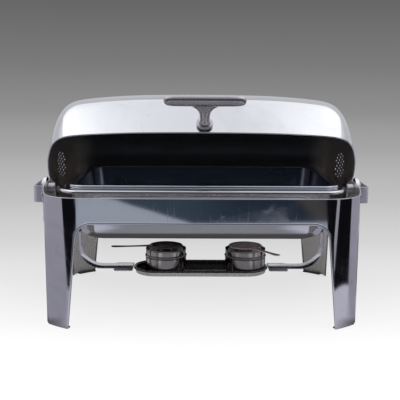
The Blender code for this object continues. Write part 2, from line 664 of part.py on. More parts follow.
def build_cups():
    for side, (x, heading) in CUPS.items():
        at = place(x=x)
        floor = CUP_FLOOR_Z
        low, high = CUP_BEAD_Z
        wall = 1.2 * MM
        cup = [(0, floor), (CUP_R - 3 * MM, floor), (CUP_R, floor + 3 * MM), (CUP_R, low),
               (CUP_R + 1.2 * MM, low + 1 * MM), (CUP_R + 1.2 * MM, high - 1 * MM),
               (CUP_R - 0.5 * MM, high), (CUP_R - 0.5 * MM, CUP_TOP_Z),
               (CUP_R - 0.5 * MM - wall, CUP_TOP_Z), (CUP_R - 0.5 * MM - wall, high), (CUP_R - wall, low),
               (CUP_R - wall, floor + 3 * MM), (CUP_R - 3 * MM, floor + wall), (0, floor + wall)]
        add_part(f"fuel_cup_{side}", turned(cup, at, 24), POLISHED)
        seat = CUP_TOP_Z + GAP
        top = COLLAR_TOP_Z
        opening = 27 * MM
        collar = [(CUP_R, seat), (CUP_R, seat + 1.5 * MM), (CUP_R - 6 * MM, top - 1.5 * MM),
                  (CUP_R - 9 * MM, top),
                  (opening, top), (opening, top - wall), (CUP_R - 9.5 * MM, top - wall),
                  (CUP_R - 5 * MM, seat - 4 * MM), (CUP_R - 2.2 * MM, seat - 5 * MM),
                  (CUP_R - 2.2 * MM, seat)]
        add_part(f"fuel_collar_{side}", turned(list(reversed(collar)), at, 24), POLISHED)
        pivot = (x + COVER_PIVOT_R * math.cos(heading), COVER_PIVOT_R * math.sin(heading))
        swing = bpy.data.objects.new(f"cover_pivot_{side}", None)
        swing.location = (pivot[0], pivot[1], top + GAP)
        swing.rotation_euler = (0, 0, heading)
        PARTS.objects.link(swing)
        cover = add_part(f"snuffer_cover_{side}", cover_mesh, POLISHED, swing)
        hole_r = 2.9 * MM
        drill = turned([(0, -5 * MM), (hole_r, -5 * MM), (hole_r, 8 * MM), (0, 8 * MM)], Matrix(), 12)
        cut(cover, add_cutter(f"cover_drill_{side}", drill, swing))
        pin = [(0, GAP), (2.5 * MM, GAP), (2.5 * MM, COVER_T + GAP * 2), (4.5 * MM, COVER_T + GAP * 2),
               (4.0 * MM, COVER_T + 2 * MM), (0, COVER_T + 2.4 * MM)]
        add_part(f"snuffer_pin_{side}", turned(pin, place(pivot[0], pivot[1], top), 12), SATIN)


def cover_mesh():
    """Round cover with a flat tapering lever, about its pivot; the lever points along +X."""
    centre = (-COVER_PIVOT_R, 0)
    half = 7 * MM
    start = math.asin(half / COVER_R)
    disc = arc(centre, COVER_R, start, math.tau - start, 36)
    tip_x = COVER_TIP_R - COVER_PIVOT_R
    tip_r = 7 * MM
    tip = arc((tip_x - tip_r, 0), tip_r, -math.pi / 2, math.pi / 2, 8)
    waist = [(40 * MM, -4.5 * MM), (55 * MM, -4.5 * MM)]
    outline = disc + waist + tip + [(x, -y) for x, y in reversed(waist)]
    return prism(outline, COVER_T, place())


clear_scene()
PARTS = new_collection("chafing_dish")
CUTTERS = new_collection("cutters")
build_stand()
build_side_handles()
build_hinge()
build_lid()
build_pans()
build_carrier()
build_cups()
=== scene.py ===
"""Roll-top chafing dish in mirror-polished steel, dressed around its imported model.

Metres throughout: the floor is z = 0, +X is the right end, -Y the front.  Lid
pieces are made with the lid closed about its pivot, then rolled back to rest.
"""
import logging
import math
from collections.abc import Callable, Iterable, Sequence
from dataclasses import dataclass, field
from enum import Enum

import bmesh
import bpy
from bmesh.types import BMesh, BMVert
from mathutils import Matrix, Vector


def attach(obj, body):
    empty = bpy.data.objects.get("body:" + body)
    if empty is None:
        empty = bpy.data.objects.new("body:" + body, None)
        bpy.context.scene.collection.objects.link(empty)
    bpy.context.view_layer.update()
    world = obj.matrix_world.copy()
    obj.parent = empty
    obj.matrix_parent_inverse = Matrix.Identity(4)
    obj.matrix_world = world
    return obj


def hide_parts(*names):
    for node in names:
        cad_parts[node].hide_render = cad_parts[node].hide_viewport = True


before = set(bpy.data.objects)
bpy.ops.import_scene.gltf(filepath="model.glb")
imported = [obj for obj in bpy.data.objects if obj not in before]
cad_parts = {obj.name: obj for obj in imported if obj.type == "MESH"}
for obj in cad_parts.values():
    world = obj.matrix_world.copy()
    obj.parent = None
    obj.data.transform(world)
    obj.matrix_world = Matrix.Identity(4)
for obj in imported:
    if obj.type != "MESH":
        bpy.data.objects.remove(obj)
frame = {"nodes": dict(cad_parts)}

LOG = logging.getLogger("chafing_dish")
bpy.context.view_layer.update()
MM = 0.001
TURN = math.tau

Point = tuple[float, float, float]
Pair = tuple[float, float]
Colour = tuple[float, float, float]


class End(Enum):
    """The two short ends of the dish."""

    LEFT = -1
    RIGHT = 1

    @property
    def word(self) -> str:
        """Name of the end as the model's nodes spell it."""
        return self.name.lower()


class Body(Enum):
    """The bodies that pieces ride on."""

    STAND = "stand"
    LID = "lid"
    FOOD = "food_pan"


class Slot(Enum):
    """The record's material slots."""

    STAND = "stand_steel"
    LID = "lid_steel"
    CAST = "cast_chrome"
    PAN = "pan_steel"
    CARRIER = "carrier_steel"
    CUP = "cup_steel"
    FITTING = "fitting_steel"
    PAD = "foot_pad"


# ---------------------------------------------------------------- shader tools

class Signal:
    """One shader socket that Python expressions can work with."""

    def __init__(self, graph: "Graph", socket: bpy.types.NodeSocket) -> None:
        """Keep the socket and the graph that it belongs to."""
        self.graph = graph
        self.socket = socket

    def _maths(self, operation: str, first: object, second: object = 0.0) -> "Signal":
        """Add a Math node.

        Args:
            operation: the Math node's operation.
            first: left-hand number or signal.
            second: right-hand number or signal.

        Returns:
            The result's signal.
        """
        return self.graph.node("ShaderNodeMath", {"operation": operation}, {0: first, 1: second})

    def __add__(self, other: object) -> "Signal":
        """Sum."""
        return self._maths("ADD", self, other)

    def __radd__(self, other: object) -> "Signal":
        """Sum with a number on the left."""
        return self._maths("ADD", other, self)

    def __sub__(self, other: object) -> "Signal":
        """Difference."""
        return self._maths("SUBTRACT", self, other)

    def __rsub__(self, other: object) -> "Signal":
        """Difference from a number on the left."""
        return self._maths("SUBTRACT", other, self)

    def __mul__(self, other: object) -> "Signal":
        """Product."""
        return self._maths("MULTIPLY", self, other)

    def __rmul__(self, other: object) -> "Signal":
        """Product with a number on the left."""
        return self._maths("MULTIPLY", other, self)

    def __pow__(self, other: object) -> "Signal":
        """Power."""
        return self._maths("POWER", self, other)

    def size(self) -> "Signal":
        """Absolute value."""
        return self._maths("ABSOLUTE", self)

    def past(self, limit: float) -> "Signal":
        """How far the value is past a limit, and 0 below it."""
        return self._maths("MAXIMUM", self - limit, 0.0)

    def or_more(self, other: object) -> "Signal":
        """The larger of two values."""
        return self._maths("MAXIMUM", self, other)

    def between(self, low: float, high: float) -> "Signal":
        """Smooth step that is 0 at low and 1 at high.

        Args:
            low: value that gives 0.
            high: value that gives 1.

        Returns:
            The stepped signal.
        """
        return self.graph.node("ShaderNodeMapRange", {"interpolation_type": "SMOOTHSTEP"},
                               {0: self, 1: low, 2: high, 3: 0.0, 4: 1.0})


class Graph:
    """A node tree with one method that makes every node."""

    def __init__(self, owner: bpy.types.ID) -> None:
        """Clear the owner's node tree and make it ready.

        Args:
            owner: a material or a world.
        """
        owner.use_nodes = True
        self.tree = owner.node_tree
        self.tree.nodes.clear()

    def node(self, kind: str, settings: dict | None = None, sockets: dict | None = None,
             output: int | str = 0) -> Signal:
        """Add one node.

        Args:
            kind: the node's type name.
            settings: attributes set first; "stops" fills a colour ramp.
            sockets: values or signals by input name or index.
            output: which output to hand back.

        Returns:
            The chosen output as a signal.
        """
        node = self.tree.nodes.new(kind)
        for name, value in (settings or {}).items():
            if name == "stops":
                self._fill_ramp(node.color_ramp, value)
            else:
                setattr(node, name, value)
        for name, value in (sockets or {}).items():
            if isinstance(value, Signal):
                self.tree.links.new(value.socket, node.inputs[name])
            else:
                node.inputs[name].default_value = value
        return Signal(self, node.outputs[output] if len(node.outputs) else None)

    @staticmethod
    def _fill_ramp(ramp: bpy.types.ColorRamp, stops: Sequence[tuple[float, Colour]]) -> None:
        """Set a colour ramp's stops.

        Args:
            ramp: the ramp.
            stops: positions with their colours, in rising order.
        """
        while len(ramp.elements) < len(stops):
            ramp.elements.new(1.0)
        for element, (position, colour) in zip(ramp.elements, stops):
            element.position = position
            element.color = (*colour, 1.0)

    def place(self, stretch: Point = (1, 1, 1), turn: Point = (0, 0, 0)) -> Signal:
        """Object coordinates, stretched and turned.

        Args:
            stretch: scale of the pattern along each axis.
            turn: turn of the pattern in degrees.

        Returns:
            The coordinate's signal.
        """
        here = self.node("ShaderNodeTexCoord", output="Object")
        return self.node("ShaderNodeMapping", {}, {"Vector": here, "Scale": stretch,
                                                   "Rotation": tuple(math.radians(a) for a in turn)})

    def noise(self, scale: float, detail: float = 2.0, stretch: Point = (1, 1, 1),
              turn: Point = (0, 0, 0), twist: float = 0.0) -> Signal:
        """Cloudy pattern, mostly between 0.3 and 0.7.

        Args:
            scale: how fine the pattern is, in waves a metre.
            detail: how many finer layers it has.
            stretch: scale of the pattern along each axis.
            turn: turn of the pattern in degrees.
            twist: how much it folds over itself.

        Returns:
            The pattern's signal.
        """
        return self.node("ShaderNodeTexNoise", {},
                         {"Vector": self.place(stretch, turn), "Scale": scale, "Detail": detail,
                          "Distortion": twist}, "Fac")

    def blend(self, share: Signal, first: "Colour | Signal", second: "Colour | Signal") -> Signal:
        """Mix two colours.

        Args:
            share: 0 gives the first colour and 1 the second.
            first: linear colour, or a colour signal.
            second: linear colour, or a colour signal.

        Returns:
            The mixed colour's signal.
        """
        pair = [c if isinstance(c, Signal) else (*c, 1.0) for c in (first, second)]
        return self.node("ShaderNodeMix", {"data_type": "RGBA"}, {"Factor": share, 6: pair[0], 7: pair[1]}, 2)

    def scratches(self, fine: float, amount: float) -> Signal:
        """Sparse hairlines that run three ways.

        Args:
            fine: hairlines a metre, roughly.
            amount: share of the surface that they cover.

        Returns:
            Pattern that is 1 on a hairline.
        """
        total = None
        for turn in ((0, 0, 24), (68, 12, 0), (0, 81, -35)):
            line = self.noise(fine, 1.0, (1.0, 0.03, 0.03), turn).between(0.74 - amount, 0.76 - amount)
            total = line if total is None else total + line
        return total

    def surface(self, shader: Signal) -> None:
        """Join a shader to the material's output.

        Args:
            shader: the finished shader's signal.
        """
        self.node("ShaderNodeOutputMaterial", {}, {"Surface": shader})


# ---------------------------------------------------------------- finishes

@dataclass(frozen=True)
class Steel:
    """Sheet or cast steel, from mirror polish to satin."""

    name: str
    clean: Colour = (0.80, 0.81, 0.84)
    dull: Colour = (0.66, 0.67, 0.71)
    roughness: float = 0.045
    smudge: float = 0.10
    scratch: float = 0.05
    hairlines: float = 520.0
    ripple: float = 0.10
    grain: Point | None = None
    # painted light: colour that the tone turns to towards both ends along X
    ends: Colour | None = None
    metallic: float = 1.0

    def make(self) -> bpy.types.Material:
        """Build the finish's material.

        Returns:
            The material.
        """
        material = bpy.data.materials.new(self.name)
        graph = Graph(material)
        wiped = graph.noise(7.5, 3.0, (1, 1, 1.6), (0, 20, 0), 0.8).between(0.46, 0.72)
        prints = graph.noise(34.0, 2.0, twist=1.6).between(0.60, 0.74) * graph.noise(5.0).between(0.48, 0.62)
        dust = graph.noise(620.0, 1.0).between(0.70, 0.78)
        hair = graph.scratches(self.hairlines, 0.035)
        tone = graph.blend(wiped * 0.55 + prints * 0.45, self.clean, self.dull)
        # painted light: past about 0.25 m from the middle along X the tone turns to the lighter ends colour
        if self.ends:
            aside = graph.node("ShaderNodeSeparateXYZ", {}, {0: graph.place()}, "X").size()
            tone = graph.blend((aside + wiped * 0.01).between(0.252, 0.305), tone, self.ends)
        rough = (wiped * self.smudge + prints * self.smudge * 0.8 + hair * self.scratch
                 + dust * 0.06 + self.roughness)
        height = graph.noise(9.0, 1.0) * self.ripple * 4.0 + hair * -0.006
        if self.grain:
            brushed = graph.noise(900.0, 3.0, self.grain)
            rough = rough + brushed * 0.16
            height = height + brushed * 0.05
        bump = graph.node("ShaderNodeBump", {}, {"Strength": 0.35, "Distance": 0.0012, "Height": height})
        graph.surface(graph.node("ShaderNodeBsdfPrincipled", {}, {
            "Base Color": tone, "Metallic": self.metallic, "Roughness": rough, "Normal": bump}))
        return material


@dataclass(frozen=True)
class HeatedSteel:
    """Steel cover that burner heat has darkened and browned."""

    name: str
    clean: Colour = (0.46, 0.41, 0.38)
    burnt: Colour = (0.16, 0.125, 0.11)
    roughness: float = 0.24
    metallic: float = 1.0

    def make(self) -> bpy.types.Material:
        """Build the finish's material.

        Returns:
            The material.
        """
        material = bpy.data.materials.new(self.name)
        graph = Graph(material)
        cloud = graph.noise(28.0, 4.0, twist=0.6).between(0.38, 0.66)
        spot = graph.noise(150.0, 2.0).between(0.62, 0.74)
        hair = graph.scratches(420.0, 0.05)
        tone = graph.blend(cloud * 0.75 + spot * 0.25, self.clean, self.burnt)
        rough = cloud * 0.18 + spot * 0.2 + hair * 0.1 + self.roughness
        bump = graph.node("ShaderNodeBump", {}, {"Strength": 0.3, "Distance": 0.0008,
                                                 "Height": cloud * 0.4 + spot * 0.2 + hair * -0.2})
        graph.surface(graph.node("ShaderNodeBsdfPrincipled", {}, {
            "Base Color": tone, "Metallic": self.metallic, "Roughness": rough, "Normal": bump}))
        return material


@dataclass(frozen=True)
class Rubber:
    """Moulded pad under a leg, scuffed where it slides."""

    name: str
    colour: Colour = (0.022, 0.022, 0.024)
    worn: Colour = (0.075, 0.072, 0.070)

    def make(self) -> bpy.types.Material:
        """Build the finish's material.

        Returns:
            The material.
        """
        material = bpy.data.materials.new(self.name)
        graph = Graph(material)
        scuff = graph.noise(90.0, 4.0).between(0.50, 0.68)
        grit = graph.noise(1400.0, 2.0)
        bump = graph.node("ShaderNodeBump", {}, {"Strength": 0.4, "Distance": 0.0004,
                                                 "Height": grit + scuff * 0.3})
        graph.surface(graph.node("ShaderNodeBsdfPrincipled", {}, {
            "Base Color": graph.blend(scuff, self.colour, self.worn),
            "Roughness": grit * 0.2 + scuff * 0.15 + 0.5, "Normal": bump}))
        return material


@dataclass
class FinishRack:
    """All of the dish's materials, each made once."""

    stand: bpy.types.Material = field(init=False)
    stand_inner: bpy.types.Material = field(init=False)
    lid: bpy.types.Material = field(init=False)
    lid_inner: bpy.types.Material = field(init=False)
    cast: bpy.types.Material = field(init=False)
    grip: bpy.types.Material = field(init=False)
    handle: bpy.types.Material = field(init=False)
    water: bpy.types.Material = field(init=False)
    food: bpy.types.Material = field(init=False)
    food_inner: bpy.types.Material = field(init=False)
    carrier: bpy.types.Material = field(init=False)
    splice: bpy.types.Material = field(init=False)
    tray: bpy.types.Material = field(init=False)
    tray_inner: bpy.types.Material = field(init=False)
    cup: bpy.types.Material = field(init=False)
    fitting: bpy.types.Material = field(init=False)
    cover: bpy.types.Material = field(init=False)
    cover_worn: bpy.types.Material = field(init=False)
    pad: bpy.types.Material = field(init=False)

    def __post_init__(self) -> None:
        """Make every material."""
        self.stand = Steel("stand_mirror_steel").make()
        self.stand_inner = Steel("stand_inner_satin_steel", (0.86, 0.83, 0.81), (0.70, 0.67, 0.65), 0.24,
                                 0.14, 0.10, metallic=0.7).make()
        self.lid = Steel("lid_mirror_steel", smudge=0.07, ripple=0.05).make()
        # painted shade and painted light: the lid's inside gets a dark tone for the shade inside the lid,
        # where the real sheet is as bright as its outside; towards both ends it turns lighter and warmer, a
        # painted light
        self.lid_inner = Steel("lid_inner_satin_steel", (0.24, 0.24, 0.24), (0.17, 0.17, 0.17), 0.34, 0.10,
                               0.10, ripple=0.05, ends=(0.86, 0.77, 0.70), metallic=0.88).make()
        self.cast = Steel("cast_chrome", (0.78, 0.78, 0.81), (0.62, 0.62, 0.66), 0.075, 0.12, 0.12,
                          ripple=0.25).make()
        self.grip = Steel("satin_grip_steel", (0.60, 0.60, 0.68), (0.48, 0.48, 0.55), 0.26, 0.14, 0.14,
                          metallic=0.45).make()
        self.handle = Steel("satin_cast_handle", (0.56, 0.54, 0.56), (0.42, 0.405, 0.42), 0.20, 0.12, 0.12,
                            ripple=0.25, metallic=0.9).make()
        self.water = Steel("water_pan_steel", roughness=0.07, smudge=0.12).make()
        self.food = Steel("food_pan_steel", (0.62, 0.66, 0.74), (0.48, 0.52, 0.60), 0.10, 0.10,
                          ripple=0.06).make()
        # the pan's inside is given a darker, bluer tone than its outside
        self.food_inner = Steel("food_pan_used_steel", (0.34, 0.38, 0.45), (0.24, 0.27, 0.32), 0.16, 0.12,
                                ripple=0.06).make()
        self.carrier = Steel("carrier_bright_steel", roughness=0.10, smudge=0.14, scratch=0.16).make()
        self.splice = Steel("bright_splice_steel", (0.86, 0.86, 0.87), (0.74, 0.74, 0.75), 0.30, 0.16,
                            0.16, metallic=0.30).make()
        self.tray = Steel("tray_satin_steel", (0.84, 0.84, 0.88), (0.70, 0.70, 0.74), 0.12, 0.14, 0.16,
                          metallic=0.6).make()
        # the tray's inside is given a dark brown tone
        self.tray_inner = Steel("tray_heated_inner", (0.20, 0.19, 0.175), (0.13, 0.12, 0.11), 0.16, 0.14,
                                0.16).make()
        # painted shade: the cups' and collars' steel is darkened for the shade under the pans
        self.cup = Steel("fuel_cup_steel", (0.55, 0.535, 0.51), (0.40, 0.385, 0.36), 0.10, 0.14,
                         0.18, ripple=0.12).make()
        self.fitting = Steel("satin_fitting_steel", (0.60, 0.60, 0.62), (0.45, 0.45, 0.47), 0.22, 0.12,
                             0.14, grain=(1.0, 0.02, 1.0)).make()
        self.cover = HeatedSteel("heat_browned_cover").make()
        # heat tint and painted light: a pale, mostly matt copy of the cover finish for the right cover,
        # brightened against the shade under the pan; its taupe hue is the heat tint
        self.cover_worn = HeatedSteel("heat_faded_cover", (0.84, 0.73, 0.66), (0.66, 0.56, 0.50), 0.38,
                                      0.1).make()
        self.pad = Rubber("foot_pad_rubber").make()


# ---------------------------------------------------------------- mesh tools

def arc(centre: Pair, radius: float, start: float, end: float, steps: int) -> list[Pair]:
    """Points on an arc, both ends included.

    Args:
        centre: middle of the arc.
        radius: its radius.
        start: first angle in degrees.
        end: last angle in degrees.
        steps: number of equal steps.

    Returns:
        The points in order.
    """
    angles = [math.radians(start + (end - start) * i / steps) for i in range(steps + 1)]
    return [(centre[0] + radius * math.cos(a), centre[1] + radius * math.sin(a)) for a in angles]


def smooth_line(knots: Sequence[Pair], steps: int) -> list[Pair]:
    """Pass a smooth curve through knots.

    Args:
        knots: points that the curve goes through.
        steps: points made between two knots.

    Returns:
        The curve's points.
    """
    pads = [knots[0], *knots, knots[-1]]
    line: list[Pair] = []
    for a, b, c, d in zip(pads, pads[1:], pads[2:], pads[3:]):
        for i in range(steps):
            t = i / steps
            line.append(tuple(0.5 * (2 * q + (r - p) * t + (2 * p - 5 * q + 4 * r - s) * t ** 2
                                     + (3 * q - p - 3 * r + s) * t ** 3)
                              for p, q, r, s in zip(a, b, c, d)))
    return [*line, knots[-1]]


def pull(bm: BMesh, row: Sequence[BMVert], points: Sequence[Point], closed: bool) -> list[BMVert]:
    """Extrude a row of vertices and set the new row in place.

    Args:
        bm: the mesh.
        row: the last row, in order.
        points: where the new row goes, in the same order.
        closed: whether the row is a loop.

    Returns:
        The new row.
    """
    pairs = list(zip(row, row[1:])) + ([(row[-1], row[0])] if closed else [])
    edges = [bm.edges.get(pair) or bm.edges.new(pair) for pair in pairs]
    index = {vert: i for i, vert in enumerate(row)}
    fresh: list[BMVert] = list(row)
    for vert in bmesh.ops.extrude_edge_only(bm, edges=edges)["geom"]:
        if isinstance(vert, BMVert):
            old = next(e.other_vert(vert) for e in vert.link_edges if e.other_vert(vert) in index)
            fresh[index[old]] = vert
    for vert, point in zip(fresh, points):
        vert.co = point
    return fresh


def skin(rows: Sequence[Sequence[Point]], closed: bool = True, caps: tuple[bool, bool] = (False, False),
         weld: bool = True) -> BMesh:
    """Stretch a sheet over rows of points.

    Args:
        rows: rows of equal length.
        closed: whether each row is a loop.
        caps: whether the first and the last row are filled.
        weld: whether doubled points are merged.

    Returns:
        The mesh, facing outwards where it is closed.
    """
    bm = bmesh.new()
    first = row = [bm.verts.new(p) for p in rows[0]]
    for points in rows[1:]:
        row = pull(bm, row, points, closed)
    if caps[0]:
        bm.faces.new(first)
    if caps[1]:
        bm.faces.new(row)
    if weld:
        bmesh.ops.remove_doubles(bm, verts=bm.verts, dist=0.00001)
    bmesh.ops.recalc_face_normals(bm, faces=bm.faces)
    return bm


def turned(profile: Sequence[Pair], steps: int = 72) -> BMesh:
    """Spin a closed profile round Z.

    Args:
        profile: (radius, height) points; the ends may lie on the axis.
        steps: steps in the full turn.

    Returns:
        The closed mesh.
    """
    bm = bmesh.new()
    verts = [bm.verts.new((r, 0, z)) for r, z in profile]
    edges = [bm.edges.new(pair) for pair in zip(verts, verts[1:])]
    if profile[0][0] > 1e-6:
        edges.append(bm.edges.new((verts[-1], verts[0])))
    bmesh.ops.spin(bm, geom=verts + edges, cent=(0, 0, 0), axis=(0, 0, 1), angle=TURN,
                   steps=steps, use_merge=True)
    bmesh.ops.remove_doubles(bm, verts=bm.verts, dist=0.00001)
    bmesh.ops.recalc_face_normals(bm, faces=bm.faces)
    return bm


def sweep(path: Sequence[Vector], outward: Sequence[Vector], section: Sequence[Pair],
          closed: bool = False) -> BMesh:
    """Draw a section along a path.

    Args:
        path: the path's points.
        outward: the direction of the section's first axis at each point.
        section: closed outline, across and along the outward direction.
        closed: whether the path is a loop.

    Returns:
        The closed mesh.
    """
    rows = []
    for i, (at, out) in enumerate(zip(path, outward)):
        before = path[i - 1] if i or closed else path[i]
        after = path[(i + 1) % len(path)] if i + 1 < len(path) or closed else path[i]
        side = (after - before).cross(out).normalized()
        rows.append([tuple(at + out * a + side * b) for a, b in section])
    if closed:
        rows.append(rows[0])
    return skin(rows, True, (not closed, not closed))


def round_box(width: float, height: float, radius: float, steps: int = 3) -> list[Pair]:
    """Rounded rectangle about the middle.

    Args:
        width: size along the first axis.
        height: size along the second axis.
        radius: corner radius.
        steps: steps in each corner.

    Returns:
        The outline's points.
    """
    points: list[Pair] = []
    for sx, sy, start in ((1, -1, -90), (1, 1, 0), (-1, 1, 90), (-1, -1, 180)):
        middle = (sx * (width / 2 - radius), sy * (height / 2 - radius))
        points += arc(middle, radius, start, start + 90, steps)
    return points


def oblong(half: Pair, radius: float, z: float, centre_x: float = 0.0, steps: int = 14) -> list[Point]:
    """Level ring shaped as a rounded rectangle.

    Args:
        half: half sizes along X and Y.
        radius: corner radius.
        z: height of the ring.
        centre_x: middle of the ring along X.
        steps: steps in each corner.

    Returns:
        The ring's points.
    """
    return [(centre_x + x, y, z) for x, y in round_box(half[0] * 2, half[1] * 2, radius, steps)]


def turn_along_x(sign: int) -> Matrix:
    """Turn a shape that points up so that it points along +X or -X."""
    return Matrix.Rotation(sign * math.pi / 2, 4, "Y")


@dataclass
class Piece:
    """A piece being made: its mesh is shaped, cut and bevelled, then dressed."""

    name: str
    bm: BMesh
    at: Matrix = field(default_factory=Matrix)
    obj: bpy.types.Object = field(init=False)

    def __post_init__(self) -> None:
        """Put the mesh in place as a new object at the origin."""
        bmesh.ops.transform(self.bm, matrix=self.at, verts=self.bm.verts)
        if self.at.determinant() < 0:
            bmesh.ops.reverse_faces(self.bm, faces=self.bm.faces)
        mesh = bpy.data.meshes.new(self.name)
        self.bm.to_mesh(mesh)
        self.bm.free()
        self.obj = bpy.data.objects.new(self.name, mesh)
        bpy.context.scene.collection.objects.link(self.obj)

    def _modifier(self, kind: str, **settings: object) -> "Piece":
        """Add a modifier and apply it at once.

        Args:
            kind: the modifier's type.
            settings: its attributes.

        Returns:
            The same piece.
        """
        modifier = self.obj.modifiers.new(kind.lower(), kind)
        for key, value in settings.items():
            setattr(modifier, key, value)
        depsgraph = bpy.context.evaluated_depsgraph_get()
        fresh = bpy.data.meshes.new_from_object(self.obj.evaluated_get(depsgraph))
        self.obj.modifiers.clear()
        old, self.obj.data = self.obj.data, fresh
        bpy.data.meshes.remove(old)
        fresh.name = self.name
        return self

    def wall(self, thickness: float, inner: bpy.types.Material | None = None) -> "Piece":
        """Give an open sheet its thickness, inwards from where it is.

        Args:
            thickness: sheet thickness.
            inner: finish of the inside, where it differs; the outside's finish goes in the first place.

        Returns:
            The same piece.
        """
        if inner:
            self.obj.data.materials.append(inner)
            self.obj.data.materials.append(inner)
        return self._modifier("SOLIDIFY", thickness=thickness, offset=-1.0, use_even_offset=True,
                              material_offset=1 if inner else 0)

    def combine(self, other: BMesh, operation: str) -> "Piece":
        """Cut away or add another closed shape.

        Args:
            other: the closed shape, used up here.
            operation: DIFFERENCE or UNION.

        Returns:
            The same piece.
        """
        helper = Piece(self.name + "_tool", other)
        self._modifier("BOOLEAN", object=helper.obj, operation=operation, solver="EXACT")
        bpy.data.objects.remove(helper.obj)
        return self

    def paint(self, finish: bpy.types.Material, inside: Callable[[Vector], bool]) -> "Piece":
        """Give some faces a second finish.

        Args:
            finish: the second material.
            inside: says of a face's middle whether it gets it.

        Returns:
            The same piece.
        """
        mesh = self.obj.data
        while len(mesh.materials) < 2:
            mesh.materials.append(finish)
        for face in mesh.polygons:
            if inside(face.center):
                face.material_index = 1
        return self

    def ease(self, width: float, angle: float = 40.0, segments: int = 2) -> "Piece":
        """Round the sharp edges.

        Args:
            width: width of the rounding.
            angle: smallest edge angle in degrees that is rounded.
            segments: faces across the rounding.

        Returns:
            The same piece.
        """
        return self._modifier("BEVEL", width=width, segments=segments, limit_method="ANGLE",
                              angle_limit=math.radians(angle), profile=0.5)

    def cast(self, voxel: float, rounds: int) -> "Piece":
        """Melt joined shapes into one skin, as a casting has.

        Args:
            voxel: size of the new faces.
            rounds: smoothing passes.

        Returns:
            The same piece.
        """
        self._modifier("REMESH", mode="VOXEL", voxel_size=voxel, use_smooth_shade=True)
        return self._modifier("SMOOTH", factor=0.5, iterations=rounds)

    def dress(self, finish: bpy.types.Material, body: str, slot: Slot, *stands_for: str,
              sharp: float = 35.0) -> bpy.types.Object:
        """Shade the piece, give it its finish and fix it to its body.

        Args:
            finish: its material.
            body: the body that it rides on.
            slot: the record's material slot; not used.
            stands_for: the model's nodes that it replaces.
            sharp: edges past this angle in degrees stay sharp.

        Returns:
            The finished object.
        """
        mesh = self.obj.data
        if mesh.materials:
            mesh.materials[0] = finish
        else:
            mesh.materials.append(finish)
        mesh.shade_smooth()
        mesh.set_sharp_from_angle(angle=math.radians(sharp))
        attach(self.obj, body)
        if stands_for:
            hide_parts(*stands_for)
        LOG.info("%s: %d faces", self.name, len(mesh.polygons))
        return self.obj


# ---------------------------------------------------------------- stand

